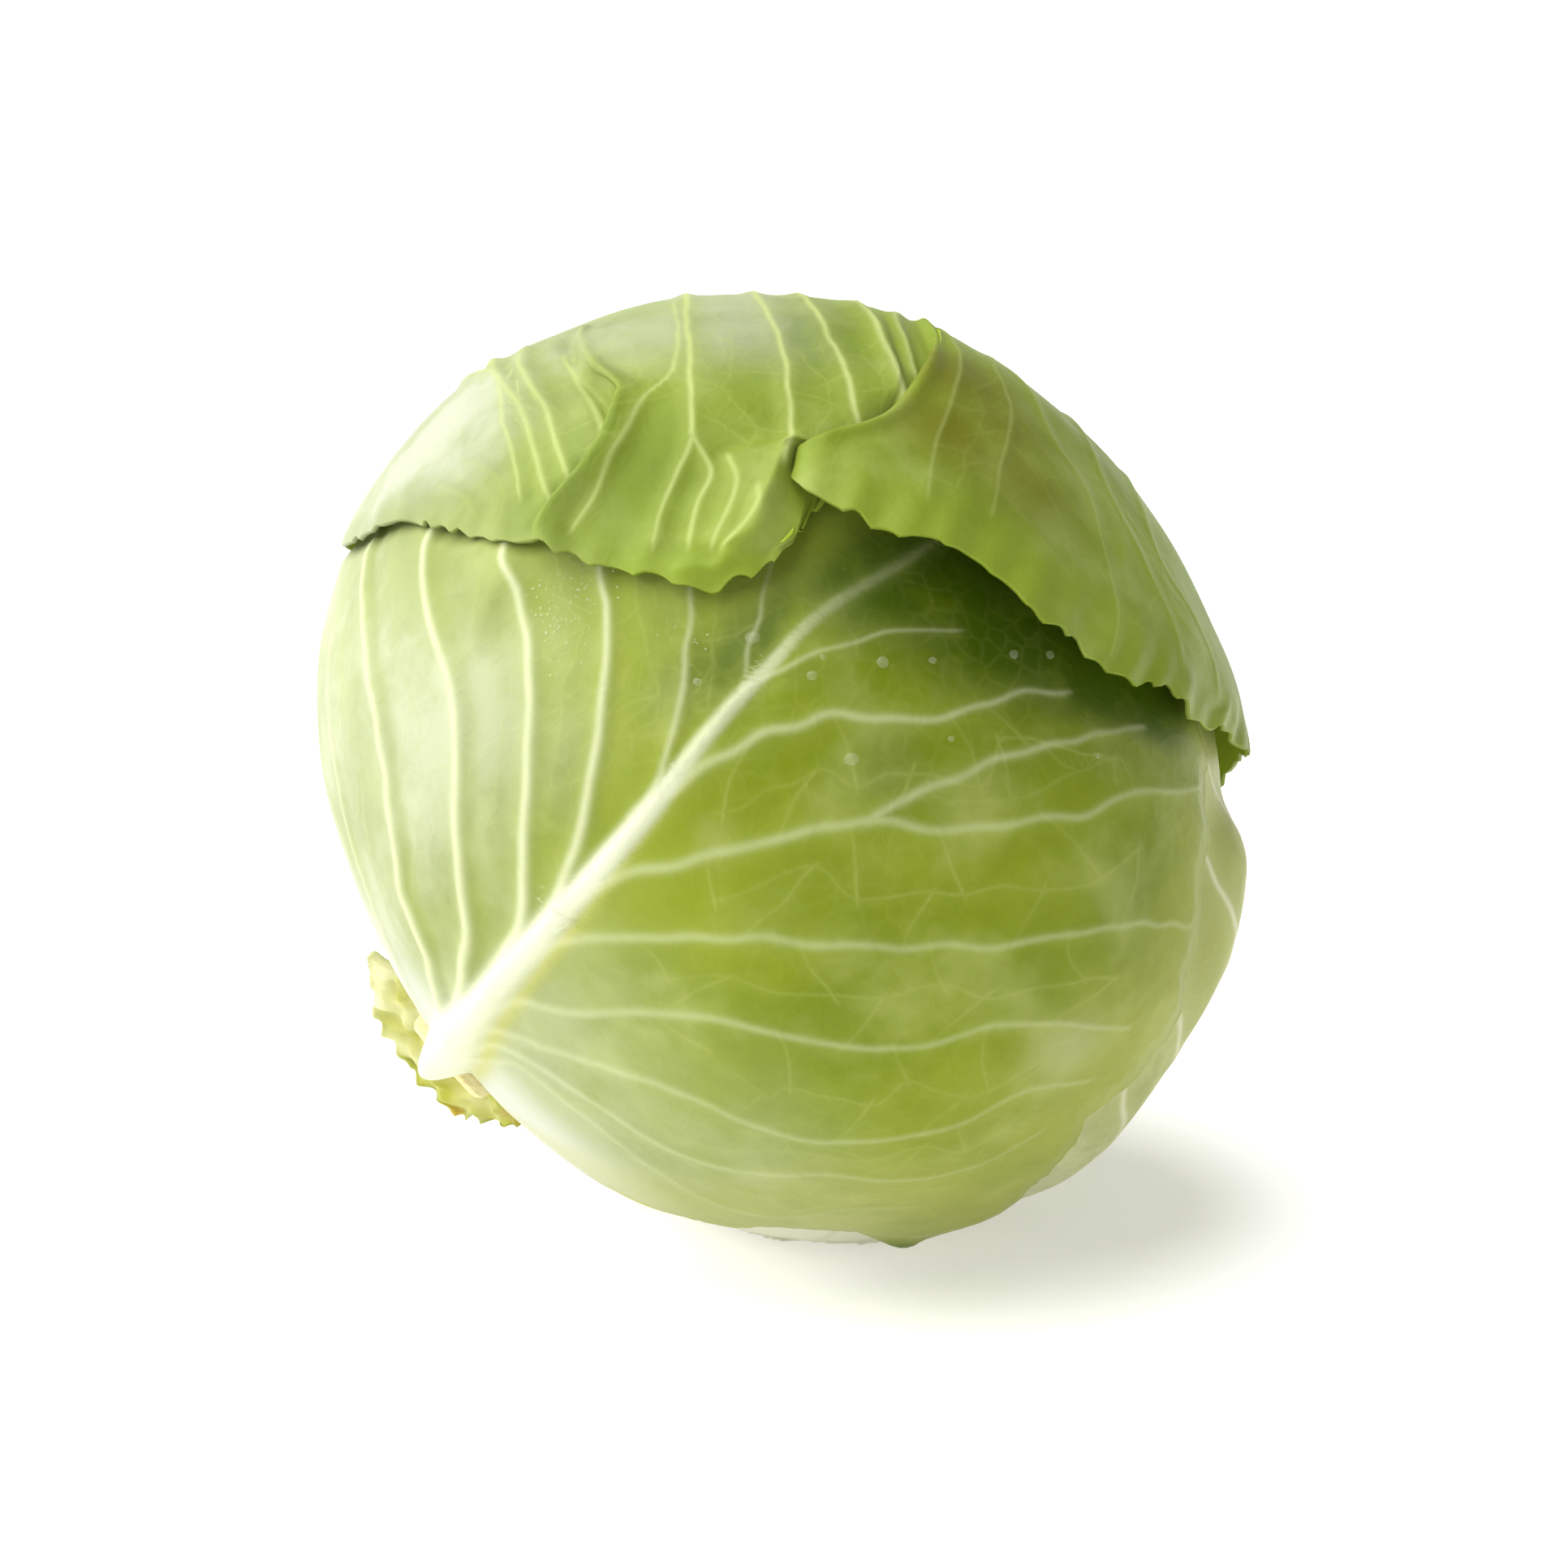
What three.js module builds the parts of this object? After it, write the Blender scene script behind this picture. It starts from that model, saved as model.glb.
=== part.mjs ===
// A head of white cabbage lying on its side: a tight heart on a cut stem, wrapped in four big leaves,
// with the torn foot of one more round the stem. Every leaf grows from the stem and follows the head.
//
// Places on the head are given by two angles, in degrees: how far from the stem (0 at the stem, 180 at
// the crown), and how far round (0 on the near side, growing towards the floor, -90 on top).
import * as THREE from "three";

// ---- Driving dimensions, in millimetres and degrees ----
const equatorRadius = 88; // the head is a little flatter along its axis than across it
const poleRadius = 77.5;
const crownLean = 41.7; // the crown points up and to the right by this angle
const nearTilt = 18; // the near side faces up by this angle
const centreHeight = 83.2; // the head's centre above the floor
const bladeThickness = 0.9;
const stemRadius = 9.2;
const stemEnd = 79.3; // along the axis, from the head's centre
const stemRoot = 69;
const heartLevel = -8.4; // the heart's surface, measured from the head's outline
const underLevel = -5.3; // the two leaves next to the heart
const frontLevel = -2.6; // the leaf with the big midrib
const leafFoot = 9; // a leaf starts this many degrees from the stem's axis
const settled = 1; // the side leaf lies flat on the floor where it comes this close to it
const toothDepth = 1.1; // how far a cut margin draws back between its points, in degrees

const deg = THREE.MathUtils.degToRad;
const clamp = THREE.MathUtils.clamp;
const smoothstep = THREE.MathUtils.smoothstep;
const lerp = THREE.MathUtils.lerp;

// ---- The head's own frame ----
const headCentre = new THREE.Vector3(0, 0, centreHeight);
const lookUp = new THREE.Vector3(0, Math.sin(deg(nearTilt)), Math.cos(deg(nearTilt)));
const near = new THREE.Vector3(0, -Math.cos(deg(nearTilt)), Math.sin(deg(nearTilt)));
const crown = new THREE.Vector3(Math.cos(deg(crownLean)), 0, 0);
crown.addScaledVector(lookUp, Math.sin(deg(crownLean)));
const below = new THREE.Vector3(Math.sin(deg(crownLean)), 0, 0);
below.addScaledVector(lookUp, -Math.cos(deg(crownLean)));

// The unit direction from the head's centre to a place on the head.
function towards(fromStem, round) {
  const a = deg(fromStem);
  const b = deg(round);
  return new THREE.Vector3()
    .addScaledVector(crown, -Math.cos(a))
    .addScaledVector(near, Math.cos(b) * Math.sin(a))
    .addScaledVector(below, Math.sin(b) * Math.sin(a));
}

// A smooth curve through points [x, y], flat beyond its ends.
function curve(points, x) {
  const last = points.length - 1;
  if (x <= points[0][0]) return points[0][1];
  if (x >= points[last][0]) return points[last][1];
  let i = 0;
  while (x > points[i + 1][0]) i += 1;
  const slope = (k) => {
    if (k === 0 || k === last) return 0;
    const rise = (points[k][1] - points[k - 1][1]) / (points[k][0] - points[k - 1][0]);
    const next = (points[k + 1][1] - points[k][1]) / (points[k + 1][0] - points[k][0]);
    return rise * next <= 0 ? 0 : (2 * rise * next) / (rise + next);
  };
  const span = points[i + 1][0] - points[i][0];
  const u = (x - points[i][0]) / span;
  return points[i][1] * (2 * u ** 3 - 3 * u ** 2 + 1) + slope(i) * span * (u ** 3 - 2 * u ** 2 + u)
    + points[i + 1][1] * (3 * u ** 2 - 2 * u ** 3) + slope(i + 1) * span * (u ** 3 - u ** 2);
}

// Soft swellings and hollows that all the layers share: place, how far they spread, and height.
const swellings = [
  { at: towards(72, 92), spread: 20, height: 1.6 },
  { at: towards(37, 114), spread: 23, height: 3.2 },
  { at: towards(27, -92), spread: 16, height: -1 },
  { at: towards(138, -70), spread: 14, height: 0.9 },
  { at: towards(96, 40), spread: 16, height: 0.7 },
  { at: towards(60, 170), spread: 22, height: 1.1 },
  { at: towards(75, 95), spread: 17, height: 1.2 },
  { at: towards(108, -90), spread: 24, height: -1.7 },
  { at: towards(172, 0), spread: 28, height: 1.2 },
];

function swelling(direction) {
  const { x, y, z } = direction;
  let height = 0.35 * Math.sin(7 * x + 2) * Math.sin(6 * y + 1) * Math.cos(5 * z);
  for (const s of swellings) {
    const away = THREE.MathUtils.radToDeg(Math.acos(clamp(direction.dot(s.at), -1, 1)));
    height += s.height * Math.exp(-((away / s.spread) ** 2));
  }
  return height;
}

// The point a given height above the head's outline, in a direction from its centre.
function atHeight(direction, height) {
  const along = direction.dot(crown);
  const outline = 1 / Math.sqrt((along / poleRadius) ** 2 + (1 - along * along) / equatorRadius ** 2);
  return direction.clone().multiplyScalar(outline + swelling(direction) + height).add(headCentre);
}

const onHead = (fromStem, round, height) => atHeight(towards(fromStem, round), height);

// The leaf over the back has its middle on top of the back, and its own angles: how far from that
// middle, and how far round it (0 towards the near side).
const capMiddle = towards(120, -150);
const capNear = near.clone().addScaledVector(capMiddle, -near.dot(capMiddle)).normalize();
const capSide = capMiddle.clone().cross(capNear);

function capToHead(out, round, height) {
  const direction = capMiddle.clone().multiplyScalar(Math.cos(deg(out)))
    .addScaledVector(capNear, Math.sin(deg(out)) * Math.cos(deg(round)))
    .addScaledVector(capSide, Math.sin(deg(out)) * Math.sin(deg(round)));
  return atHeight(direction, height);
}

// The cap leaf's margin, roughly: [round its middle, from its middle].
const capMargin = [
  [-180, 80], [-154, 97], [-131, 108], [-118, 95], [-102, 73], [-92, 68.5], [-76, 77], [-65, 89],
  [-52, 97], [-45, 104], [-36, 109], [-20, 118], [-11, 120], [-4, 117], [0, 110], [8, 113], [29, 115],
  [45, 112.6], [61, 105], [72, 97], [88, 82], [101, 73], [132, 65.5], [160, 70], [180, 80],
];

// How many degrees a place on the head is outside the cap leaf's margin.
function beyondCap(fromStem, round) {
  const direction = towards(fromStem, round);
  const out = THREE.MathUtils.radToDeg(Math.acos(clamp(direction.dot(capMiddle), -1, 1)));
  const turn = THREE.MathUtils.radToDeg(Math.atan2(direction.dot(capSide), direction.dot(capNear)));
  return out - curve(capMargin, turn);
}

// ---- Closed bodies from grids of points ----
// Triangles of a grid of rows and columns; a wrapped grid's last column joins its first.
function gridFaces(rows, columns, wrapped) {
  const faces = [];
  for (let i = 0; i < rows - 1; i += 1) {
    for (let j = 0; j < (wrapped ? columns : columns - 1); j += 1) {
      const a = i * columns + j;
      const b = i * columns + ((j + 1) % columns);
      const [c, d] = [a + columns, b + columns];
      if ((i + j) % 2) faces.push([a, b, c], [b, d, c]);
      else faces.push([a, b, d], [a, d, c]);
    }
  }
  return faces;
}

function asMesh(name, points, faces, colour) {
  let volume = 0;
  for (const [a, b, c] of faces) volume += points[a].dot(points[b].clone().cross(points[c]));
  const outward = volume > 0 ? faces : faces.map(([a, b, c]) => [a, c, b]);
  const geometry = new THREE.BufferGeometry().setFromPoints(points);
  geometry.setIndex(outward.flat());
  geometry.computeVertexNormals();
  const mesh = new THREE.Mesh(geometry, new THREE.MeshStandardMaterial({ color: colour, roughness: 0.55 }));
  mesh.name = name;
  return mesh;
}

// A leaf: an outer and an inner face with the same triangles, joined by a wall round every open edge.
function leafMesh(name, outer, inner, faces, colour) {
  const count = outer.length;
  const directed = new Set(faces.flatMap(([a, b, c]) => [`${a}_${b}`, `${b}_${c}`, `${c}_${a}`]));
  const all = faces.concat(faces.map(([a, b, c]) => [a + count, c + count, b + count]));
  for (const [a, b, c] of faces) {
    for (const [p, q] of [[a, b], [b, c], [c, a]]) {
      if (!directed.has(`${q}_${p}`)) all.push([q, p, p + count], [q, p + count, q + count]);
    }
  }
  return asMesh(name, outer.concat(inner), all, colour);
}

// Each outer point moved inwards along the face's own normal.
function inwards(outer, faces, distance) {
  const normals = outer.map(() => new THREE.Vector3());
  for (const [a, b, c] of faces) {
    const across = outer[b].clone().sub(outer[a]).cross(outer[c].clone().sub(outer[a]));
    for (const k of [a, b, c]) normals[k].add(across);
  }
  const facing = normals[0].dot(outer[0].clone().sub(headCentre)) > 0 ? -distance : distance;
  return outer.map((p, k) => p.clone().addScaledVector(normals[k].normalize(), facing));
}

// ---- The front leaf: a big white midrib with seven side veins on each hand ----
const frontRound = -6; // the midrib's place round the head
// Each row leaves the midrib at a place from the stem and fans out: spread, ease, and how far it reaches.
const frontRight = [
  { at: leafFoot, spread: 0.07, ease: 400, reach: 100 },
  { at: 14, spread: 0.25, ease: 400, reach: 95 },
  { at: 18, spread: 0.34, ease: 400, reach: 86 },
  { at: 20, spread: 0.38, ease: 400, reach: 79.5 },
  { at: 22, spread: 0.42, ease: 400, reach: 77 },
  { at: 23.5, spread: 0.49, ease: 400, reach: 78.5 },
  { at: 25, spread: 0.55, ease: 400, reach: 88 },
  { at: 26.2, spread: 0.72, ease: 360, reach: 87 },
  { at: 27.5, spread: 0.95, ease: 300, reach: 77 },
  { at: 29, spread: 1.2, ease: 220, reach: 74 },
  { at: 32, spread: 1.6, ease: 110, reach: 76 },
  { at: 38, spread: 1.63, ease: 112, reach: 72 },
  { at: 46, spread: 1.66, ease: 118, reach: 66.5 },
  { at: 57, spread: 1.66, ease: 115, reach: 65.7 },
  { at: 66, spread: 1.65, ease: 110, reach: 66.8 },
  { at: 76, spread: 1.65, ease: 110, reach: 58 },
  { at: 87.5, spread: 1.65, ease: 110, reach: 43 },
  { at: 104, spread: 1.5, ease: 110, reach: 26 },
  { at: 118, spread: 1.3, ease: 110, reach: 13 },
  { at: 130, spread: 1, ease: 110, reach: 4 },
];
const frontLeft = [
  { at: leafFoot, spread: 0.03, ease: 400, reach: 90 },
  { at: 10, spread: 0.3, ease: 200, reach: 93 },
  { at: 11, spread: 0.75, ease: 150, reach: 95 },
  { at: 12, spread: 1.05, ease: 150, reach: 95 },
  { at: 13, spread: 1.35, ease: 150, reach: 95 },
  { at: 29, spread: 1.9, ease: 55, reach: 92 },
  { at: 48.5, spread: 1.75, ease: 45, reach: 90 },
  { at: 61, spread: 1.75, ease: 45, reach: 75 },
  { at: 76, spread: 1.75, ease: 45, reach: 60 },
  { at: 86.5, spread: 1.75, ease: 45, reach: 45 },
  { at: 104, spread: 1.5, ease: 60, reach: 25 },
  { at: 118, spread: 1.3, ease: 80, reach: 13 },
  { at: 130, spread: 1, ease: 110, reach: 4 },
];
const frontVeinsRight = [25, 27.5, 32, 48, 66, 87.5, 104];
const frontVeinsLeft = [11, 13, 29, 48.5, 61, 76, 86.5];
const midribHeight = [[9, 7], [16, 5.6], [30, 3.9], [50, 2.2], [75, 1.1], [100, 0.5], [130, 0.1]];
const midribHalfWidth = [[9, 6.2], [20, 6.6], [35, 4.6], [60, 2.9], [80, 1.7], [100, 1.1], [130, 0.7]];
const veinHeight = 0.8;
const curlRise = 1.6; // the right margin rolls up here, in millimetres
const curlPlace = 62; // degrees from the stem
const curlSpread = 3;

function rowOf(side, at) {
  const pick = (key) => curve(side.map((row) => [row.at, row[key]]), at);
  return { spread: pick("spread"), ease: pick("ease"), reach: pick("reach") };
}

// One row of the front leaf, from its left margin over the midrib to its right margin.
function frontRow(at, steps, cut) {
  const row = [];
  const arc = deg(1) * equatorRadius * Math.sin(deg(Math.max(at, leafFoot)));
  const halfWidth = curve(midribHalfWidth, at) / arc; // in degrees round the head
  for (const hand of [-1, 1]) {
    const { spread, ease, reach } = rowOf(hand < 0 ? frontLeft : frontRight, at);
    const veins = hand < 0 ? frontVeinsLeft : frontVeinsRight;
    const gap = Math.min(...veins.map((v) => Math.abs(v - at)));
    const half = [];
    for (const t of steps) {
      const b = t < 0 ? halfWidth * (1 + t) : lerp(halfWidth, Math.max(reach - cut, halfWidth + 1), t);
      const fromStem = at + (spread * b) / (1 + b / ease);
      const rib = b < halfWidth ? Math.cos((b / halfWidth) * Math.PI * 0.5) ** 1.3 : 0;
      const vein = gap < 0.3 ? veinHeight * (1 - 0.6 * smoothstep(t, 0.5, 1)) * smoothstep(t, -0.1, 0.15) : 0;
      const edge = -0.9 * smoothstep(t, 0.9, 1) * (hand > 0 ? 1 : 0.2);
      const rolled = hand > 0 ? smoothstep(t, 0.93, 1) : 0;
      const curl = curlRise * rolled * Math.exp(-(((fromStem - curlPlace) / curlSpread) ** 2));
      half.push({
        fromStem,
        round: frontRound + hand * b,
        level: frontLevel + 2.2 * smoothstep(beyondCap(fromStem, frontRound + hand * b), 3, 20) + edge + curl,
        relief: rib * curve(midribHeight, at) + vein,
      });
    }
    if (hand < 0) row.push(...half.reverse());
    else row.push(...half.slice(1));
  }
  return row;
}

function frontLeaf() {
  const steps = [-1, -0.5, 0, 0.1, 0.22, 0.35, 0.48, 0.61, 0.74, 0.86, 0.94, 1];
  const crests = [...new Set(frontVeinsLeft.concat(frontVeinsRight))];
  const between = [
    leafFoot, 10, 10.5, 11.5, 12, 12.5, 16, 18, 20, 22, 23.5, 24.3, 25.6, 26.2, 26.8, 28.2, 30.3, 34, 36,
    38.5, 41, 44.5, 53, 57, 70, 82, 93, 98, 110, 117, 124, 130,
  ];
  const rows = between.concat(crests);
  rows.sort((p, q) => p - q);
  const grid = rows.map((at, k) => frontRow(at, steps, k % 2 ? toothDepth : 0));
  const outer = grid.flat().map((p) => onHead(p.fromStem, p.round, p.level + p.relief));
  const inner = grid.flat().map((p) => onHead(p.fromStem, p.round, p.level - bladeThickness));
  return leafMesh("front_leaf", outer, inner, gridFaces(rows.length, grid[0].length, false), 0xa9c46c);
}

// ---- The two leaves next to the heart ----
// The front leaf's right margin, as [from the stem, round the head].
const frontMargin = [
  [9, 95], [33, 91], [42, 83], [48, 77], [53, 75], [57, 77], [64, 85], [72, 86], [79, 80], [84, 74], [92, 71],
  [104, 72], [109, 68.5], [114, 65], [119, 62], [128, 61.5], [135, 62], [141, 52], [150, 30],
];

function underLeaf({ name, middle, reach, spreadOut, tip, levelAt, floorFlat, colour, rows, columns }) {
  const outer = [];
  const inner = [];
  for (let i = 0; i < rows; i += 1) {
    const r = (i / (rows - 1)) ** 1.12;
    for (let j = 0; j < columns; j += 1) {
      const t = (2 * j) / (columns - 1) - 1;
      const width = reach * (1 + (t < 0 ? spreadOut : -0.12) * r * r);
      const round = middle + t * width;
      const end = tip * (1 - 0.16 * t * t) + 1.2 * Math.sin(9 * t + middle);
      const fromStem = lerp(leafFoot + 3 * t * t, end, r);
      const rib = 3.2 * Math.exp(-((t * width * Math.sin(deg(fromStem)) * 1.5 / 5) ** 2)) * (1 - r) ** 2;
      const level = levelAt(fromStem, round);
      const top = onHead(fromStem, round, level);
      const thick = bladeThickness + 0.6 * rib * (1 - smoothstep(r, 0.1, 0.5));
      const bottom = onHead(fromStem, round, level - thick);
      if (floorFlat && top.z < settled) top.z = 0;
      if (floorFlat && bottom.z < bladeThickness) bottom.z = bladeThickness;
      outer.push(top);
      inner.push(bottom);
    }
  }
  return leafMesh(name, outer, inner, gridFaces(rows, columns, false), colour);
}

// Clear of the leaves that lie over it the side leaf swells out to the head's outline, and at the back
// it dips under the other one.
function sideLevel(fromStem, round) {
  const clearOfFront = smoothstep(round - curve(frontMargin, fromStem), 3, 18);
  const clearOfCap = smoothstep(beyondCap(fromStem, round), 4, 18);
  const swell = 3.9 + 1.3 * smoothstep(fromStem, 100, 122);
  return underLevel + swell * clearOfFront * clearOfCap - 2.6 * smoothstep(round, 143, 162);
}

// The back leaf rises the same way past the front leaf's left margin.
function backLevel(fromStem, round) {
  const clearOfCap = smoothstep(beyondCap(fromStem, round), 4, 18);
  return underLevel + 3.2 * smoothstep(-round, 107, 122) * (1 - smoothstep(-round, 160, 176)) * clearOfCap;
}

// ---- The cap leaf: it comes over the back and the crown and ends in front in a toothed, tucked margin ----
// Its lines run from its middle, on top of the back, to the margin. Two tucks in the margin, where the
// right side lies over the left, follow these two lines: [from the leaf's middle, round it].
const tuckLine = [
  [50, 11.5], [70, 11.1], [82, 10], [90, 8.3], [95, 6.2], [98, 3.6], [100.5, 0], [102.5, -3.2],
  [106, -3.6], [110, -4.4], [114, -5.5], [117, -8],
];
const smallTuckLine = [
  [60, -32], [74.5, -31.4], [85, -28.6], [90, -25.1], [93, -23.5], [97, -23.2], [101.8, -24.2],
  [105, -26.5], [109, -30.5], [112, -32],
];
const tuckStrength = [[46, 0], [56, 0.2], [70, 0.5], [84, 0.9], [92, 1]];
const smallTuckStrength = [[64, 0], [76, 0.25], [90, 0.45], [98, 1]];

// Each line ends at the margin: [from the middle, round it, height], and has its height further in.
// A line in a tuck has its distance from the tuck's line where the tuck is closed, and where it is flat.
const leftLines = [
  [84, -70, 0.9, 0], [89, -65, 1.2, 0], [91.6, -61.8, 1.4, 0], [93.8, -58.2, 2.2, 0],
  [95.6, -55.1, 2.8, 0], [97, -52.6, 3, 0], [98.6, -50.9, 1.8, 0], [101.2, -48.4, 0.7, 0],
  [104.2, -44.8, 0.4, 0], [106.5, -41.2, 0.5, 0], [108.1, -38.6, 0.4, -0.3], [109.3, -36, 0.6, -0.6],
];
const smallTuckLines = [
  [110, -34, 0.4, -1, -2.6, -3.2], [110.8, -32.4, 0.2, -1, -0.8, -2.4],
  [111.4, -30.9, 0.2, -0.6, 0.8, -1.6], [111.6, -30.1, 0.9, 0.3, 1.6, -0.8], [111, -30.8, 1.9, 1.4, 1, 0],
  [110.4, -32.2, 2.4, 2, -0.2, 0.8], [110.7, -33, 3.6, 3.3, -0.7, 1.6], [111.8, -32.4, 4.6, 4.3, 0, 2.4],
  [113, -31, 4, 4, 1.3, 3.2],
];
const middleLines = [
  [114.4, -29, 2.8, 2.8], [115.7, -26.4, 1.8, 1.8], [116.8, -23.4, 1.4, 1], [118.2, -20, 1.2, 0.4],
  [119.1, -17, 1.2, 0.2], [119.9, -14.2, 1.3, 0.4],
];
const tuckLines = [
  [120.4, -11.3, 1.6, 1, -2, -4], [119.7, -8.6, 1.8, 0.5, -0.8, -3.2], [118.8, -6.3, 1.8, 0.2, 0.4, -2.4],
  [117.5, -4.4, 1.5, 0.1, 1.5, -1.6], [114.5, -2.5, 1, 0, 2.6, -0.8], [111.6, -1.1, 0.6, 0, 3.7, 0],
  [109, -0.1, 0.3, 0, 4.7, 0.8], [107, 0.8, 0.2, 0, 5.6, 1.6], [105.9, 2, 0.9, 0.8, 6.1, 2.4],
  [105.4, 1.2, 2, 2, 5.3, 3.2], [105.4, -0.8, 2.4, 2.3, 2.8, 4], [106, -2.6, 3, 2.8, 0.6, 4.8],
  [107, -3.2, 4.4, 4, -0.2, 5.6], [108.2, -2.4, 6, 5.3, 0.7, 6.4], [109.4, -0.8, 6.7, 5.6, 2.6, 7.4],
  [110.8, 1.9, 7.4, 5.5, 5.2, 8.8], [112.2, 5, 8.5, 5, 8.2, 10.6],
];
const rightLines = [
  [112.9, 8.2, 9, 4.6], [113.2, 11.8, 9.4, 4.2], [112.3, 16.6, 9, 3.6], [112.9, 21, 8.6, 3],
  [114.3, 25.4, 8, 2.6], [115, 29.5, 7.4, 2.2], [114.2, 33.5, 6.6, 1.8], [115.2, 37.4, 5.8, 1.5],
  [114, 41.3, 5.2, 1.2], [112.6, 45.2, 4.6, 1], [109.3, 50.4, 3.8, 0.8], [108, 55.3, 3, 0.6],
  [105, 60.8, 2.4, 0.4], [100, 66, 1.7, 0.2], [97, 72, 1.1, 0.1], [93.5, 77.5, 0.7, 0],
  [87.5, 83, 0.5, 0],
];
const backLines = [
  [82, 88, 0.4, 0], [77.5, 94, 0.3, 0], [73, 101.5, 0.3, 0], [69.5, 110, 0.2, 0], [67, 120, 0.2, 0],
  [65.5, 132, 0.2, 0], [66, 146, 0.2, 0], [70, 160, 0.2, 0], [76, 172, 0.3, 0], [84, 184, 0.3, 0],
  [92, 196, 0.3, 0], [97, 206, 0.4, 0], [100, 214, 0.8, 0.2], [105.5, 222, 1.6, 0.3],
  [106.2, 226.6, 2.4, 0.6], [106.2, 231.4, 2.4, 0.6], [105, 235.6, 1.6, 0.3], [95, 242, 0.6, 0.2],
  [82, 249, 0.3, 0], [73, 258, 0.2, 0], [68.5, 268, 0.2, 0], [70.5, 277, 0.3, 0], [77, 284, 0.5, 0],
];
const ridgeRise = [1.2, 2.8, 2.4, 1.4, 0.5]; // the left side's ridge where it comes out of the big tuck

function capLines() {
  const lines = [];
  const add = (list, keys) => list.forEach(([end, round, edge, inland, across, flat], k) => {
    const line = { end, round, edge, inland, across, flat, big: 0, small: 0, cut: 0, rise: 0 };
    lines.push({ ...line, ...keys(k, list.length) });
  });
  const cut = (k) => (k % 2 ? toothDepth : 0);
  add(leftLines, (k, n) => ({ small: (k + 0.5) / n, cut: cut(k) }));
  add(smallTuckLines, () => ({ line: smallTuckLine, strength: smallTuckStrength, small: 1 }));
  add(middleLines, (k, n) => ({ big: (k + 0.5) / n, small: 1 - (k + 0.5) / n, cut: cut(k) }));
  const from = lines.length - 1;
  add(tuckLines, () => ({ line: tuckLine, strength: tuckStrength, big: 1 }));
  add(rightLines, (k, n) => ({ big: 1 - (k + 0.5) / n, cut: cut(k) }));
  add(backLines, () => ({}));
  ridgeRise.forEach((rise, k) => { lines[from + k].rise = rise; });
  return lines;
}

// A point of one line, a share of the way from the leaf's middle to its margin.
function capPoint(line, share) {
  const out = share * (line.end - line.cut);
  const strength = line.big * curve(tuckStrength, out) + line.small * curve(smallTuckStrength, out);
  let round = line.round;
  if (line.line) {
    const atEnd = line.round - curve(line.line, line.end);
    const across = lerp(line.across, atEnd, smoothstep(share, 0.86, 1));
    round = curve(line.line, out) + lerp(line.flat, across, strength);
  } else {
    round += line.big * (curve(tuckLine, out) - curve(tuckLine, line.end));
    round += line.small * (curve(smallTuckLine, out) - curve(smallTuckLine, line.end));
  }
  const ridge = line.rise * smoothstep(out, 97, 102.5) * (1 - smoothstep(out, 114, 119.5));
  return capToHead(out, round, lerp(line.inland * strength, line.edge, smoothstep(share, 0.76, 1)) + ridge);
}

function capLeaf() {
  const shares = [0.1, 0.22, 0.34, 0.45, 0.54, 0.62, 0.69, 0.75, 0.8, 0.84, 0.875, 0.905, 0.935, 0.965, 1];
  const lines = capLines();
  const outer = shares.flatMap((share) => lines.map((line) => capPoint(line, share)));
  const faces = gridFaces(shares.length, lines.length, true);
  const middle = outer.length;
  outer.push(capToHead(0, 0, 0));
  for (let j = 0; j < lines.length; j += 1) faces.push([middle, (j + 1) % lines.length, j]);
  return leafMesh("cap_leaf", outer, inwards(outer, faces, bladeThickness), faces, 0xa3bd63);
}

// ---- The heart: a solid ball, its surface stepped where its own leaves overlap ----
function heartStep(fromStem, round) {
  let height = 0;
  for (const [turn, drop] of [[20, 0.5], [140, 0.5], [260, 0.5]]) {
    const a = deg(round - turn) + deg(fromStem) * 0.8;
    height += drop * smoothstep(Math.cos(a), 0.1, 0.35);
  }
  return height - 1.5;
}

function heart() {
  const [rows, columns] = [20, 36];
  const points = [];
  for (let i = 0; i < rows; i += 1) {
    const fromStem = lerp(leafFoot, 174, i / (rows - 1));
    for (let j = 0; j < columns; j += 1) {
      const round = (360 * j) / columns;
      const dip = -2.4 * smoothstep(Math.cos(deg(round - 190)), 0.6, 0.95);
      points.push(onHead(fromStem, round, heartLevel + heartStep(fromStem, round) + dip));
    }
  }
  const faces = gridFaces(rows, columns, true);
  const foot = points.length;
  points.push(headCentre.clone().addScaledVector(crown, -poleRadius + 11));
  points.push(onHead(180, 0, heartLevel));
  const last = (rows - 1) * columns;
  for (let j = 0; j < columns; j += 1) {
    const k = (j + 1) % columns;
    faces.push([foot, k, j], [foot + 1, last + j, last + k]);
  }
  return asMesh("heart", points, faces, 0xdde3a8);
}

// ---- The cut stem ----
const alongAxis = (along, out, round) => headCentre.clone()
  .addScaledVector(crown, -along)
  .addScaledVector(near, out * Math.cos(deg(round)))
  .addScaledVector(below, out * Math.sin(deg(round)));

function stem() {
  const columns = 28;
  const profile = [
    [stemRoot, stemRadius - 1], [stemRoot + 2, stemRadius - 0.3], [stemEnd - 2.4, stemRadius],
    [stemEnd - 0.8, stemRadius - 0.2], [stemEnd, stemRadius - 1.1], [stemEnd - 0.5, stemRadius - 4.2],
  ];
  const points = [];
  for (const [along, out] of profile) {
    for (let j = 0; j < columns; j += 1) {
      const round = (360 * j) / columns;
      points.push(alongAxis(along, out * (1 + 0.03 * Math.sin(deg(3 * round))), round));
    }
  }
  const faces = gridFaces(profile.length, columns, true);
  const root = points.length;
  points.push(alongAxis(stemRoot, 0, 0), alongAxis(stemEnd - 0.9, 0, 0));
  const last = (profile.length - 1) * columns;
  for (let j = 0; j < columns; j += 1) {
    const k = (j + 1) % columns;
    faces.push([root, k, j], [root + 1, last + j, last + k]);
  }
  return asMesh("stem", points, faces, 0xc9ae78);
}

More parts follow.
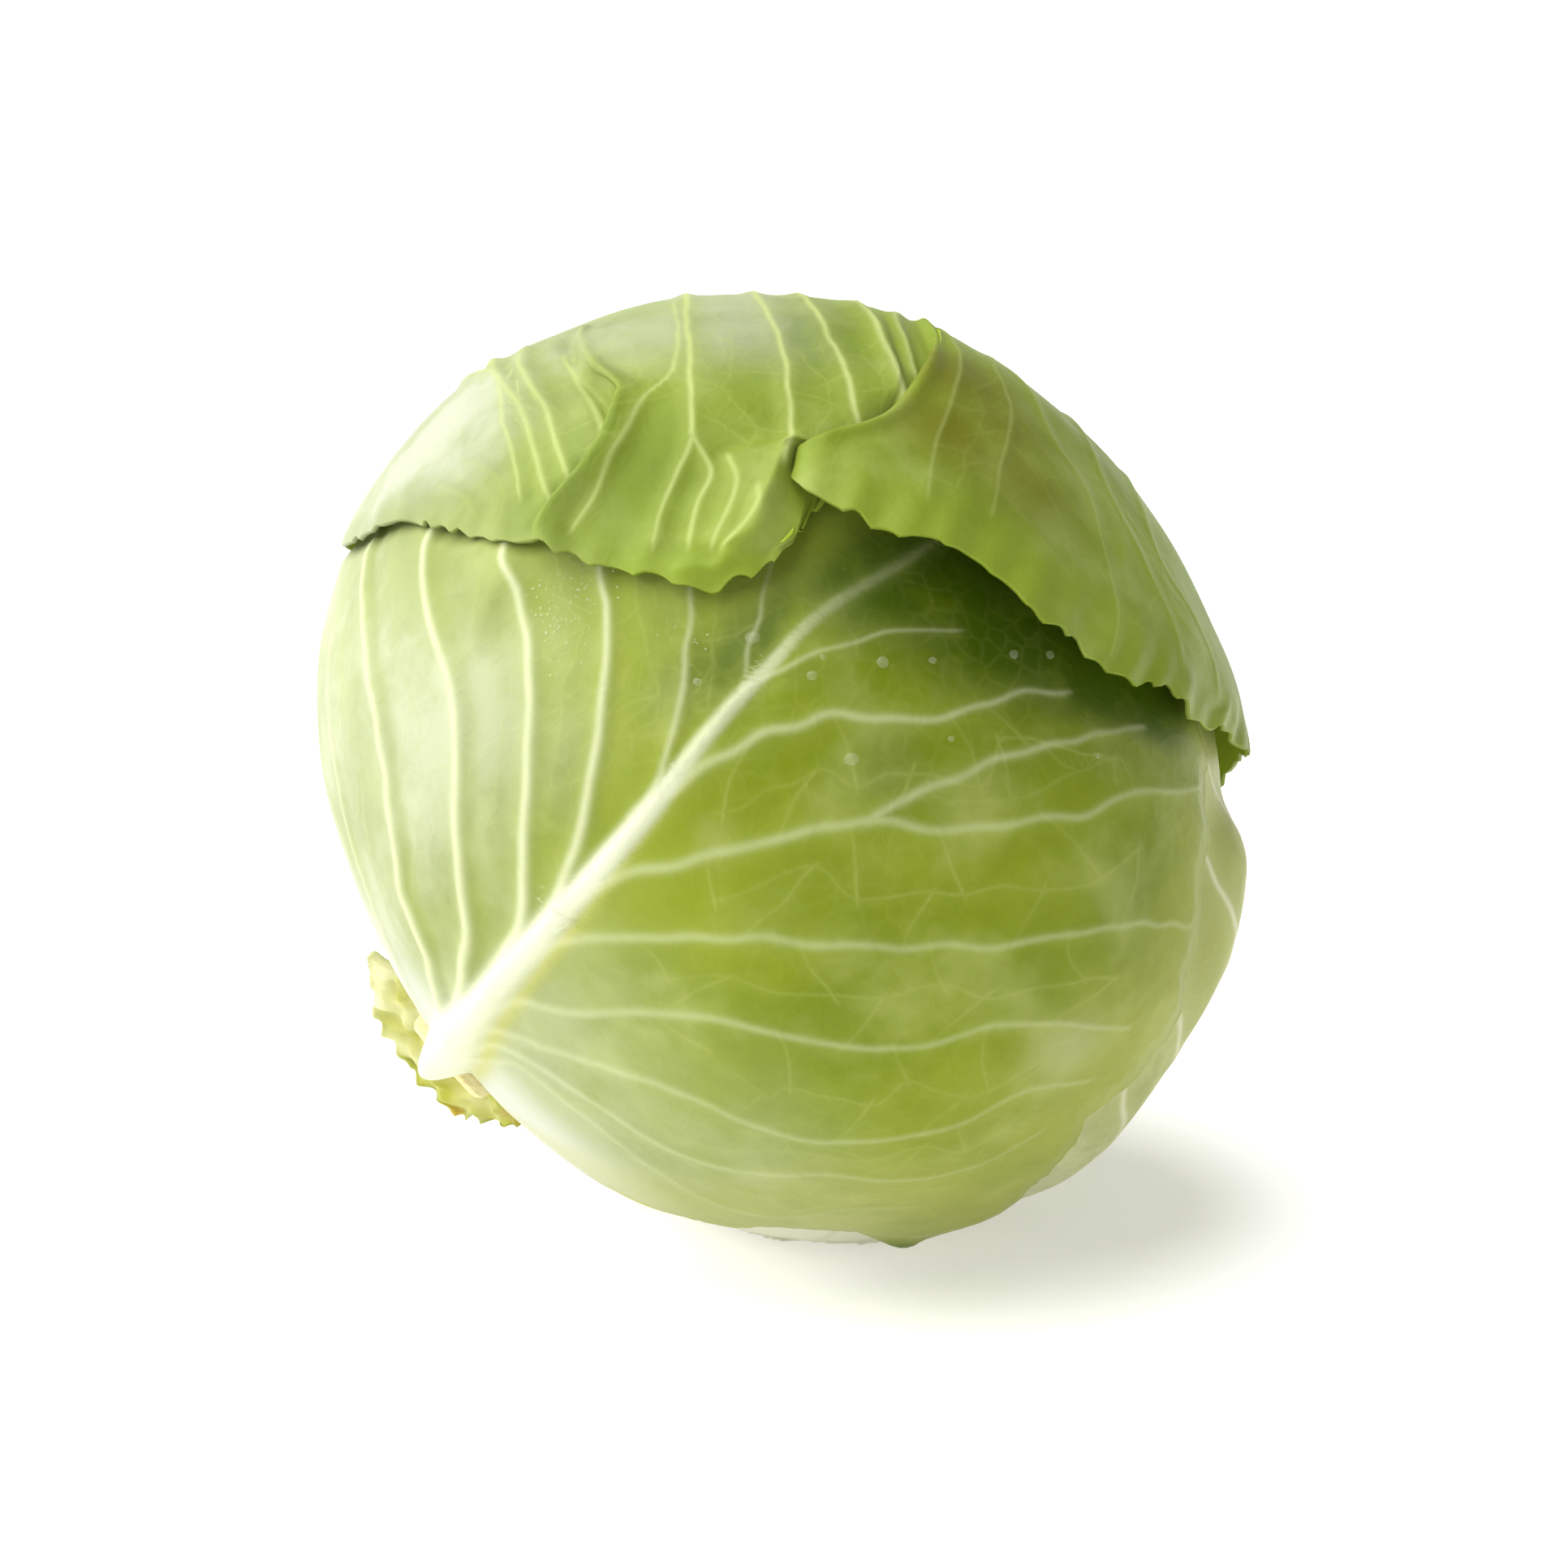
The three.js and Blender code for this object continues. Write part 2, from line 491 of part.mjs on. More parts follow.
// ---- What is left of one more leaf: a thick torn collar round the far side of the stem ----
const collarRim = [
  [136, 78.1], [143, 80.6], [152, 82.9], [164, 85.4], [180, 86.3], [200, 85.4], [226, 82], [244, 79.2],
  [256, 77.4],
];
const collarFoot = [[136, 76.6], [180, 77.9], [205, 78], [222, 76.4], [256, 74]];

function tornLeaf() {
  const columns = 41;
  const outer = [];
  const inner = [];
  const rows = [0, 0.25, 0.5, 0.75, 1];
  for (const r of rows) {
    for (let j = 0; j < columns; j += 1) {
      const round = lerp(136, 256, j / (columns - 1));
      const tear = r === 1 ? 0.9 * (j % 2) + 0.5 * Math.sin(j * 1.3) : 0;
      const out = lerp(stemRadius + 0.9, 24.5 - tear, r ** 0.9);
      const along = lerp(curve(collarFoot, round), curve(collarRim, round) + 0.4, r) - tear;
      const thick = lerp(2.2, 1.3, r);
      const lump = 0.35 * Math.sin(j * 0.35 + 5 * r);
      outer.push(alongAxis(along + lump, out, round));
      inner.push(alongAxis(along + lump - thick, out + thick * 0.25, round));
    }
  }
  return leafMesh("torn_leaf", outer, inner, gridFaces(rows.length, columns, false), 0xc2cc5c);
}

const group = new THREE.Group();
group.name = "cabbage_head";
group.add(
  heart(),
  stem(),
  tornLeaf(),
  underLeaf({ name: "back_leaf", middle: -112, reach: 76, spreadOut: -0.12, tip: 132, levelAt: backLevel,
    floorFlat: false, colour: 0xc3d48c, rows: 14, columns: 21 }),
  underLeaf({ name: "side_leaf", middle: 123, reach: 85, spreadOut: 0.16, tip: 154, levelAt: sideLevel,
    floorFlat: true, colour: 0xcfdba0, rows: 20, columns: 29 }),
  frontLeaf(),
  capLeaf(),
);

export default group;
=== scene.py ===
import bmesh
import bpy
import numpy as np
from mathutils import Matrix, Vector


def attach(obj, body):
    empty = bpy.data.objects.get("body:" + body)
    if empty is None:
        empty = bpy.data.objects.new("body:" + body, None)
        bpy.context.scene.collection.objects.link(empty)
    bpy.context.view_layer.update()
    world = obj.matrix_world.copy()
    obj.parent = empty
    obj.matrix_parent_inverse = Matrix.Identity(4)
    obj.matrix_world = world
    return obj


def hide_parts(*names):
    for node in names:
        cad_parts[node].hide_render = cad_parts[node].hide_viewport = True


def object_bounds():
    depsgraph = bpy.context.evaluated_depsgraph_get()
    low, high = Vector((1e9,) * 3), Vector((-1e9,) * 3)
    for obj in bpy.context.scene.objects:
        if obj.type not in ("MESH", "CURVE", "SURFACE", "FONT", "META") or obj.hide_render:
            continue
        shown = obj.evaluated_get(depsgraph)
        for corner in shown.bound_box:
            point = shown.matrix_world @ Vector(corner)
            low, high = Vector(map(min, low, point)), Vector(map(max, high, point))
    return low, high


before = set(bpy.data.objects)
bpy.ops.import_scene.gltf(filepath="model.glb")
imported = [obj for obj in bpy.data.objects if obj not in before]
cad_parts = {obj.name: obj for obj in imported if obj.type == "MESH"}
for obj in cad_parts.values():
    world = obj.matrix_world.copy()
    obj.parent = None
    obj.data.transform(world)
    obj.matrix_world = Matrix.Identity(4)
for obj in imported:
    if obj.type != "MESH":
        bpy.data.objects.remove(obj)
bpy.context.view_layer.update()
cadLow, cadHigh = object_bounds()
print("frame loaded, with", len(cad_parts), "pieces")

# Lengths are in millimetres and angles in degrees until a mesh is written.
# A place on the head: degrees from the stem (180 is the crown) and degrees round
# (0 on the near side, growing towards the floor, -90 on top).
head = {
    "equatorRadius": 88.0,
    "poleRadius": 77.5,
    "crownLean": 41.7,
    "nearTilt": 18.0,
    "centreHeight": 83.2,
    "skinRadius": 86.0,  # turns an angle on the head into a length
    "leafFoot": 9,  # a leaf starts this many degrees from the stem
    "blade": 0.9,
    "underLevel": -5.3,
    "frontLevel": -2.6,
    "heartLevel": -8.4,
}
metre = 0.001  # a millimetre, as Blender counts it
headCentre = np.array([0, 0, head["centreHeight"]])
tilt, lean = np.radians(head["nearTilt"]), np.radians(head["crownLean"])
lookUp = np.array([0, np.sin(tilt), np.cos(tilt)])
near = np.array([0, -np.cos(tilt), np.sin(tilt)])
crown = np.array([np.cos(lean), 0, 0]) + np.sin(lean) * lookUp
below = np.array([np.sin(lean), 0, 0]) - np.cos(lean) * lookUp


def step(x, low, high):  # 0 below low, 1 above high, smooth between
    t = np.clip((np.asarray(x, float) - low) / (high - low), 0, 1)
    return t * t * (3 - 2 * t)


def bell(x, width):
    return np.exp(-(np.asarray(x, float) / width) ** 2)


def curve(points, x):  # a smooth line through [x, y] points, flat beyond its ends
    xs, ys = np.array(points, float).T
    x = np.clip(np.asarray(x, float), xs[0], xs[-1])
    span, rise = np.diff(xs), np.diff(ys) / np.diff(xs)
    product, total = rise[:-1] * rise[1:], rise[:-1] + rise[1:]
    slope = np.zeros(len(xs))
    slope[1:-1] = np.where(product > 0, 2 * product / np.where(product > 0, total, 1), 0)
    i = np.clip(np.searchsorted(xs, x, side="right") - 1, 0, len(span) - 1)
    u = (x - xs[i]) / span[i]
    rising, arriving = u ** 3 - 2 * u ** 2 + u, u ** 3 - u ** 2
    return (ys[i] * (2 * u ** 3 - 3 * u ** 2 + 1) + ys[i + 1] * (3 * u ** 2 - 2 * u ** 3)
            + span[i] * (slope[i] * rising + slope[i + 1] * arriving))


def towards(fromStem, around):
    a, b = np.radians(fromStem), np.radians(around)
    a, b = np.broadcast_arrays(a, b)
    return (-np.cos(a)[..., None] * crown + (np.cos(b) * np.sin(a))[..., None] * near
            + (np.sin(b) * np.sin(a))[..., None] * below)


def apart(directions, place):  # degrees between directions and a place
    return np.degrees(np.arccos(np.clip(directions @ place, -1, 1)))


def ripples(points, size, seed, count=7):  # soft noise, about -1 to 1, of waves about that long
    draw = np.random.default_rng(seed)
    total = np.zeros(points.shape[:-1])
    for _ in range(count):
        way = draw.normal(size=3)
        way *= 2 * np.pi / size / np.linalg.norm(way) * draw.uniform(0.7, 1.4)
        total += np.sin(points @ way + draw.uniform(0, 6.28))
    return total / np.sqrt(count)


swellings = [  # from the stem, round, spread, height
    (72, 92, 20, 1.6), (37, 114, 23, 3.2), (27, -92, 16, -1), (138, -70, 14, 0.9), (96, 40, 16, 0.7),
    (60, 170, 22, 1.1), (75, 95, 17, 1.2), (108, -90, 24, -1.7), (172, 0, 28, 1.2),
]


def atHeight(directions, height):  # the points that far above the head's outline
    along = directions @ crown
    outline = 1 / np.sqrt((along / head["poleRadius"]) ** 2 + (1 - along ** 2) / head["equatorRadius"] ** 2)
    x, y, z = np.moveaxis(directions, -1, 0)
    swell = 0.35 * np.sin(7 * x + 2) * np.sin(6 * y + 1) * np.cos(5 * z)
    for fromStem, around, spread, rise in swellings:
        swell = swell + rise * bell(apart(directions, towards(fromStem, around)), spread)
    return headCentre + directions * (outline + swell + height)[..., None]


# The leaf over the back has its own angles: degrees from its middle, and round it (0 towards the near side).
capMiddle = towards(120, -150)
capNear = near - near @ capMiddle * capMiddle
capNear /= np.linalg.norm(capNear)
capSide = np.cross(capMiddle, capNear)
capMargin = [
    (-180, 80), (-154, 97), (-131, 108), (-118, 95), (-102, 73), (-92, 68.5), (-76, 77), (-65, 89),
    (-52, 97), (-45, 104), (-36, 109), (-20, 118), (-11, 120), (-4, 117), (0, 110), (8, 113), (29, 115),
    (45, 112.6), (61, 105), (72, 97), (88, 82), (101, 73), (132, 65.5), (160, 70), (180, 80),
]


def capTowards(out, around):
    a, b = np.broadcast_arrays(np.radians(out), np.radians(around))
    return (np.cos(a)[..., None] * capMiddle + (np.sin(a) * np.cos(b))[..., None] * capNear
            + (np.sin(a) * np.sin(b))[..., None] * capSide)


def beyondCap(directions):  # degrees outside the cap leaf's margin
    turn = np.degrees(np.arctan2(directions @ capSide, directions @ capNear))
    return apart(directions, capMiddle) - curve(capMargin, turn)


# Veins: each is a path on the head, with its half width, height and whiteness where it starts and ends.
farAcross = 6.0  # half widths from a vein at which nothing of it is left


def smoothBetween(a, b, c, d, t):  # from b to c as t goes from 0 to 1, with a before them and d after
    square, cube = 2 * a - 5 * b + 4 * c - d, 3 * b - a - 3 * c + d
    return 0.5 * (2 * b + (c - a) * t + square * t ** 2 + cube * t ** 3)


def pathOf(points, layout, wobble=0.0, seed=0):
    knots = layout(*np.array(points, float).T)
    ends = np.vstack([2 * knots[0] - knots[1], knots, 2 * knots[-1] - knots[-2]])
    made = []
    for p0, p1, p2, p3 in zip(ends, ends[1:], ends[2:], ends[3:]):
        count = max(2, int(np.linalg.norm(p2 - p1) * head["skinRadius"] / 0.5))
        t = np.linspace(0, 1, count, endpoint=False)[:, None]
        made.append(smoothBetween(p0, p1, p2, p3, t))
    line = np.vstack(made + [knots[-1:]])
    line /= np.linalg.norm(line, axis=1, keepdims=True)
    line = line + sidewaysOf(line) * (wobble / head["skinRadius"] * ripples(line, 0.13, seed, 5))[:, None]
    return line / np.linalg.norm(line, axis=1, keepdims=True)


def sidewaysOf(line):
    side = np.cross(line, np.gradient(line, axis=0))
    return side / np.linalg.norm(side, axis=1, keepdims=True)


def measured(directions, line):  # the nearest point's number, and millimetres away, aside and past the end
    nearest = (directions @ line.T).argmax(axis=1)
    offset = head["skinRadius"] * (directions - line[nearest])
    away = np.linalg.norm(offset, axis=1)
    aside = np.sum(offset * sidewaysOf(line)[nearest], axis=1)
    return nearest, away, aside, np.sqrt(np.maximum(0, away ** 2 - aside ** 2))


def veinField(directions, veins, layout, where=None):
    # Relief in millimetres, and for each set of veins how far across the nearest vein a place is
    # (0 on its crest, 1 or -1 at its edge) and how white it is.
    count = len(directions)
    relief, glow, marks = np.zeros(count), np.zeros(count), {}
    for name in "ABCD":
        best, across, white = np.full(count, 99.0), np.full(count, farAcross), np.zeros(count)
        for k, one in enumerate(veins):
            if one["set"] != name:
                continue
            line = pathOf(one["path"], layout, one["wobble"], k)
            nearest, away, aside, past = measured(directions, line)
            share = nearest / (len(line) - 1)
            width, height, shade = (one[key][0] + (one[key][1] - one[key][0]) * share
                                    for key in ("width", "height", "white"))
            mask = 1.0 if where is None else where(one)
            shade = shade * bell(past, 1.6) * mask
            relief = np.maximum(relief, height * bell(away, 0.8 + width) * bell(past, 3) * mask)
            glow = np.maximum(glow, shade * bell(away, 1.5 + 2.5 * width))
            closer = (away / width < best) & (np.asarray(mask) > 0.3)
            best = np.where(closer, away / width, best)
            across = np.where(closer, aside / width, across)
            white = np.where(closer, shade * (1 - step(away, 1.2 + width, 2.1 + 1.3 * width)), white)
        marks["across" + name] = np.clip(across, -farAcross, farAcross)
        marks["white" + name] = white
    return relief, {**marks, "glow": glow}


def vein(path, width, height, white, wobble=0.3, **more):
    return {"path": path, "width": width, "height": height, "white": white, "wobble": wobble, **more}


def inSets(veins):  # neighbours never share a set, so their marks never meet
    return [{**one, "set": "AB"[k % 2]} for k, one in enumerate(veins)]


def alongPath(path, share):  # a place part of the way along a vein's path
    points = np.array(path, float)
    at = np.linspace(0, 1, len(points))
    return np.array([np.interp(share, at, points[:, 0]), np.interp(share, at, points[:, 1])])


def web(first, second, start, cells, seed, white, **more):
    # a net of fine veins between two big ones: a line that wanders between them, tied to each in turn
    width = 0.34
    draw = np.random.default_rng(seed)
    shares = start + (0.97 - start) * (np.arange(cells) + draw.uniform(0.1, 0.9, cells)) / cells
    middle = []
    for share in shares:
        a, b = alongPath(first, share), alongPath(second, share)
        middle.append(a + (b - a) * draw.uniform(0.3, 0.7))
    links = []
    for k, share in enumerate(shares):
        parent = first if k % 2 else second
        foot = alongPath(parent, max(share - draw.uniform(0.02, 0.07), 0))
        bend = (foot + middle[k]) / 2 + draw.uniform(-0.8, 0.8, 2)
        links.append(vein([foot, bend, middle[k]], (width, width), (0.1, 0.1), white, set="D", **more))
    chain = vein(middle, (width * 1.1, width), (0.14, 0.1), white, 0.5, set="C", **more)
    return [chain] + links


def teeth(along, amount, spacing, seed):  # how far a cut margin draws back between its points
    draw = np.random.default_rng(seed)
    tips = np.cumsum(draw.uniform(0.5, 1.5, 400) * spacing) - 50 * spacing
    depth = draw.uniform(0.3, 1, 400) ** 1.5 * amount
    i = np.clip(np.searchsorted(tips, along) - 1, 0, 398)
    f = (along - tips[i]) / (tips[i + 1] - tips[i])
    return depth[i] * (1 - (2 * f - 1) ** 2)


def fitted(points):  # a piece's points in metres, eased back where they would leave the solids' box
    ease = 1.2
    low, high = np.array(cadLow) / metre + ease, np.array(cadHigh) / metre - ease
    out, under = np.maximum(points - high, 0), np.maximum(low - points, 0)
    under[:, 2] = 0
    points = np.where(out > 0, high + ease * (1 - np.exp(-out / ease)), points)
    points = np.where(under > 0, low - ease * (1 - np.exp(-under / ease)), points)
    return (points * metre).tolist()


nearlyOne = 0.9999


def finish(name, bm, node, paint):
    mesh = bpy.data.meshes.new(name)
    bm.to_mesh(mesh)
    bm.free()
    for polygon in mesh.polygons:
        polygon.use_smooth = True
    mesh.materials.append(paint)
    piece = bpy.data.objects.new(name, mesh)
    bpy.context.scene.collection.objects.link(piece)
    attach(piece, "root")
    if node:
        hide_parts(node)
    triangles = sum(len(p.vertices) - 2 for p in mesh.polygons)
    print(name, "made with", triangles, "triangles")


def setMarks(bm, marks, count):  # a number on every vertex for each mark, which the paint reads
    for key in marks:
        bm.verts.layers.float.new(key)
    for key, values in marks.items():
        layer = bm.verts.layers.float[key]
        for v, value in zip(bm.verts, np.broadcast_to(values, count).tolist()):
            v[layer] = value


def blade(name, node, leaf, place, seam=False):
    # a grid laid on the head as the blade's inner face, then pulled out to its outer face
    bm = bmesh.new()
    bmesh.ops.create_grid(bm, x_segments=leaf["columns"], y_segments=leaf["rows"], size=1)
    at = np.array([v.co[:2] for v in bm.verts])
    outer, inner, marks = place(at[:, 0] / 2 + 0.5, at[:, 1] / 2 + 0.5)
    setMarks(bm, {**marks, "inside": 1.0 * (at[:, 1] < nearlyOne)}, len(at))
    layer = bm.verts.layers.float_vector.new("outerPlace")
    for v, p, q in zip(bm.verts, fitted(outer), fitted(inner)):
        v.co = q
        v[layer] = p
    if seam:
        edge = [v for v, (x, y) in zip(bm.verts, at) if abs(x) > nearlyOne or y < -nearlyOne]
        bmesh.ops.remove_doubles(bm, verts=edge, dist=1e-6)
    pulled = bmesh.ops.extrude_face_region(bm, geom=bm.faces[:])["geom"]
    inside = bm.verts.layers.float["inside"]
    for v in pulled:
        if isinstance(v, bmesh.types.BMVert):
            v.co = v[layer]
            v[inside] = 0.0
    bm.verts.layers.float_vector.remove(layer)
    bmesh.ops.recalc_face_normals(bm, faces=bm.faces[:])
    finish(name, bm, node, leafPaint(name, leaf["look"]))


def lump(name, node, ball, paint, place):
    # a ball whose points are moved by their turn (-180 to 180) and rise (0 to 1)
    bm = bmesh.new()
    bmesh.ops.create_uvsphere(bm, u_segments=ball["turns"], v_segments=ball["rings"], radius=1)
    at = np.array([v.co[:] for v in bm.verts])
    turn = np.degrees(np.arctan2(at[:, 1], at[:, 0]))
    rise = np.degrees(np.arccos(np.clip(-at[:, 2], -1, 1))) / 180
    points, marks = place(turn, rise)
    setMarks(bm, marks, len(at))
    for v, p in zip(bm.verts, fitted(points)):
        v.co = p
    bmesh.ops.recalc_face_normals(bm, faces=bm.faces[:])
    finish(name, bm, node, paint)


def hue(text):  # a colour as it is seen, such as "a9c46c", as the linear values a shader takes
    parts = [int(text[i:i + 2], 16) / 255 for i in (0, 2, 4)]
    return (*(p / 12.92 if p <= 0.04045 else ((p + 0.055) / 1.055) ** 2.4 for p in parts), 1)


class Wire:  # a socket that sums and products can be written with
    def __init__(self, tree, socket):
        self.tree, self.socket = tree, socket

    def node(self, kind, settings=None, values=None, out=0):
        made = self.tree.nodes.new(kind)
        for key, value in (settings or {}).items():
            if key == "stops":
                while len(made.color_ramp.elements) < len(value):
                    made.color_ramp.elements.new(0.5)
                for stop, (position, colour) in zip(made.color_ramp.elements, value):
                    stop.position, stop.color = position, colour
            else:
                setattr(made, key, value)
        for key, value in (values or {}).items():
            if isinstance(value, Wire):
                self.tree.links.new(value.socket, made.inputs[key])
            else:
                made.inputs[key].default_value = value
        return Wire(self.tree, made.outputs[out])

    def maths(self, operation, a, b=0.0, **settings):
        return self.node("ShaderNodeMath", {"operation": operation, **settings}, {0: a, 1: b})

    def __add__(self, other):
        return self.maths("ADD", self, other)

    def __radd__(self, other):
        return self.maths("ADD", other, self)

    def __sub__(self, other):
        return self.maths("SUBTRACT", self, other)

    def __rsub__(self, other):
        return self.maths("SUBTRACT", other, self)

    def __mul__(self, other):
        return self.maths("MULTIPLY", self, other)

    def __rmul__(self, other):
        return self.maths("MULTIPLY", other, self)

    def between(self, low, high):  # 0 to 1 as this goes from low to high
        return self.node("ShaderNodeMapRange", {"interpolation_type": "SMOOTHSTEP"},
                         {"Value": self, "From Min": low, "From Max": high})

    def blend(self, a, b):  # colour a where this is 0, colour b where it is 1
        return self.node("ShaderNodeMix", {"data_type": "RGBA"}, {0: self, 6: a, 7: b}, out=2)

    def clipped(self):
        return self.maths("ADD", self, 0.0, use_clamp=True)

    def mark(self, name):  # a number that the mesh holds at each vertex
        return self.node("ShaderNodeAttribute", {"attribute_name": name}, out="Fac")

    def cloud(self, at, scale, detail=3.0, rough=0.55, out=0):
        values = {"Vector": at, "Scale": scale, "Detail": detail, "Roughness": rough}
        return self.node("ShaderNodeTexNoise", None, values, out)

    def into(self, shader, key):
        self.tree.links.new(self.socket, shader.inputs[key])


def newPaint(name):
    paint = bpy.data.materials.new(name)
    paint.use_nodes = True
    tree = paint.node_tree
    return paint, tree.nodes["Principled BSDF"], Wire(tree, None)


def setShader(shader, values):
    for key, value in values.items():
        shader.inputs[key].default_value = value


def leafPaint(name, look):
    paint, shader, start = newPaint(name)
    place = start.node("ShaderNodeTexCoord", out="Object")

    def cloud(scale, detail=3.0, rough=0.55):
        return start.cloud(place, scale, detail, rough)

    drift = start.cloud(place, 90.0, 2.0, 0.5, out=1)
    bent = start.node("ShaderNodeVectorMath", {"operation": "MULTIPLY_ADD"},
                      {0: drift, 1: (0.006, 0.006, 0.006), 2: place})
    size, width = 0.0042, 0.0007  # the cells of the finest net, and its lines
    cells = start.node("ShaderNodeTexVoronoi", {"feature": "DISTANCE_TO_EDGE"},
                       {"Vector": bent, "Scale": 1 / size})
    fine = 1 - cells.between(0.0, width / size)
    patches, grain = cloud(26.0, 4.0, 0.6), cloud(420.0, 3.0, 0.6)
    pale, deep, warm, glow, bare = (start.mark(key) for key in ("pale", "deep", "warm", "glow", "bare"))
    mottle = cloud(34.0, 5.0, 0.62).between(0.36, 0.62)

    def crest(name):
        across = start.mark("across" + name)
        return start.maths("EXPONENT", 0 - across * across) * start.mark("white" + name)

    big = start.maths("MAXIMUM", crest("A"), crest("B")) * (0.7 + 0.6 * cloud(120.0))
    small = start.maths("MAXIMUM", crest("C"), crest("D")) * (0.3 + 1.3 * cloud(60.0, 2.0))
    # the pale colour, partly the leaf's own and partly painted light, laid on in patches
    paleAndLitWash = (pale * (0.6 + 0.5 * mottle)).clipped()
    colour = hue(look["green"])
    for amount, tint in (  # each is laid over the ones before it
        (patches.between(0.36, 0.66) * look["patchy"], "dark"),
        (cloud(55.0).between(0.45, 0.75), "light"),
        ((deep * (0.75 + 0.25 * patches)).clipped(), "deep"),
        ((fine * cloud(34.0).between(0.38, 0.62) * look["net"]).clipped(), "vein"),
        (cloud(140.0).between(0.5, 0.72) * 0.2, "dark"),
        ((glow * 0.36).clipped(), "vein"),
        (paleAndLitWash, "pale"),
        (bare.clipped(), "bare"),
        ((warm * (0.6 + 0.6 * mottle)).clipped(), "warm"),
        (grain.between(0.62, 0.78) * 0.16, "light"),
        (small.clipped(), "vein"),
        (big.clipped(), "rib"),
        (crest("Mid").clipped(), "midrib"),
    ):
        colour = amount.blend(colour, hue(look[tint]))
    # Painted light: the inner face gets its own yellow-green and glows with it, as light shining through the
    # leaf
    if "inside" in look:
        inside = start.mark("inside").clipped()
        colour = inside.blend(colour, hue(look["inside"]))
        inside.blend((0, 0, 0, 1), hue(look["inside"])).into(shader, "Emission Color")
        setShader(shader, {"Emission Strength": look["lit"]})
    colour.into(shader, "Base Color")
    (look["gloss"] + 0.16 * cloud(70.0) + 0.1 * paleAndLitWash).into(shader, "Roughness")
    swell = fine * 0.15 + grain * 0.1 + cloud(150.0) * 0.45 + big * 0.2 + small * 0.35
    bump = start.node("ShaderNodeBump", None, {"Strength": look["bump"], "Distance": 0.0004, "Height": swell})
    bump.into(shader, "Normal")
    setShader(shader, {"Specular IOR Level": 0.16, "Specular Tint": look["sheen"],
                       "Subsurface Weight": look["glow"], "Subsurface Scale": 0.0022,
                       "Subsurface Radius": (0.9, 1.0, 0.25)})
    return paint


stand = {  # the camera looks at a place that far to the right of and above the head's centre
    "distance": 1500.0, "lens": 195.65, "right": 0.29, "up": -3.43,
    "sky": 0.4, "sun": 5.8, "sunFrom": (-0.75, -0.04, 1.0), "sunSoft": 90,
    "floor": "f6f6f4", "floorGlow": 0.3, "floorHalf": 6,
}


def makeStage():
    scene = bpy.context.scene
    scene.view_settings.view_transform = "Standard"
    eye = bpy.data.cameras.new("camera")
    eye.lens, eye.sensor_width = stand["lens"], 36
    eye.clip_start, eye.clip_end = 0.1, 30
    camera = bpy.data.objects.new("camera", eye)
    target = headCentre + np.array([stand["right"], 0, 0]) + lookUp * stand["up"]
    camera.location = Vector((target + near * stand["distance"]) * metre)
    camera.rotation_mode = "QUATERNION"
    camera.rotation_quaternion = Vector(-near).to_track_quat("-Z", "Y")
    scene.collection.objects.link(camera)
    scene.camera = camera

    world = bpy.data.worlds.new("studio")
    world.use_nodes = True
    setShader(world.node_tree.nodes["Background"], {"Color": (1, 1, 1, 1), "Strength": stand["sky"]})
    scene.world = world

    light = bpy.data.lights.new("window", "SUN")
    light.energy = stand["sun"]
    light.angle = np.radians(stand["sunSoft"])
    window = bpy.data.objects.new("window", light)
    window.rotation_mode = "QUATERNION"
    window.rotation_quaternion = Vector(stand["sunFrom"]).to_track_quat("Z", "Y")
    scene.collection.objects.link(window)

    bm = bmesh.new()
    bmesh.ops.create_grid(bm, x_segments=1, y_segments=1, size=stand["floorHalf"])
    mesh = bpy.data.meshes.new("floor")
    bm.to_mesh(mesh)
    bm.free()
    paint, shader, _ = newPaint("floor")
    setShader(shader, {"Base Color": hue(stand["floor"]), "Roughness": 0.8, "Specular IOR Level": 0.1,
                       "Emission Color": (1, 1, 1, 1), "Emission Strength": stand["floorGlow"]})
    mesh.materials.append(paint)
    floor = bpy.data.objects.new("floor", mesh)
    scene.collection.objects.link(floor)
    print("camera, light and floor placed")


makeStage()

# The front leaf, with the big midrib. Its veins run from the midrib outwards.
frontLeaf = {
    "columns": 300, "rows": 164, "top": 141, "curlPlace": 62.5, "curlRise": 1.8, "curlSpread": 2.4,
    "look": {"green": "7a8720", "dark": "687612", "light": "8b9549", "deep": "2c4202", "warm": "a9a858",
             "pale": "aeb296", "bare": "b9bcb0", "vein": "9ca45c", "rib": "c4c8a2", "midrib": "cccfb6",
             "sheen": (0.8, 1, 0.25, 1),
             "patchy": 0.9, "net": 0.06, "gloss": 0.42, "bump": 0.5, "glow": 0.08},
    "midrib": [(9, -6), (35, -4.5), (60, -5), (75, -6), (87, -8), (96, -9), (105, -10), (120, -9)],
    "midribHeight": [(9, 7), (16, 5.6), (30, 3.9), (50, 2.2), (75, 1.1), (100, 0.5), (130, 0.1)],
    "midribHalfWidth": [(9, 6.2), (20, 6.6), (35, 4.6), (60, 2.9), (80, 1.7), (100, 1.1), (130, 0.7)],
    "whiteHalfWidth": [(9, 6.2), (20, 5.8), (30, 4.5), (55, 3.0), (80, 1.8), (100, 1.3), (130, 0.9)],
    "leftMargin": [(9, -96), (29, -99), (55, -101), (92, -101), (101, -96), (110, -81), (121, -66),
                   (126, -51), (131, -31), (134, -10), (138, 8), (141, 28)],
    "rightMargin": [(9, 93), (20, 90), (33, 88), (42, 80.5), (47.6, 75.5), (53, 74), (57, 76), (62, 82),
                    (68, 85), (74, 84), (79, 79), (83, 74.5), (87, 71), (91, 68), (95, 69.5), (99, 70),
                    (104, 70), (108, 67.2), (113, 64.4), (117, 61.4), (121, 59.6), (128, 59.7),
                    (134.5, 60.8), (138, 54), (141, 40)],
}
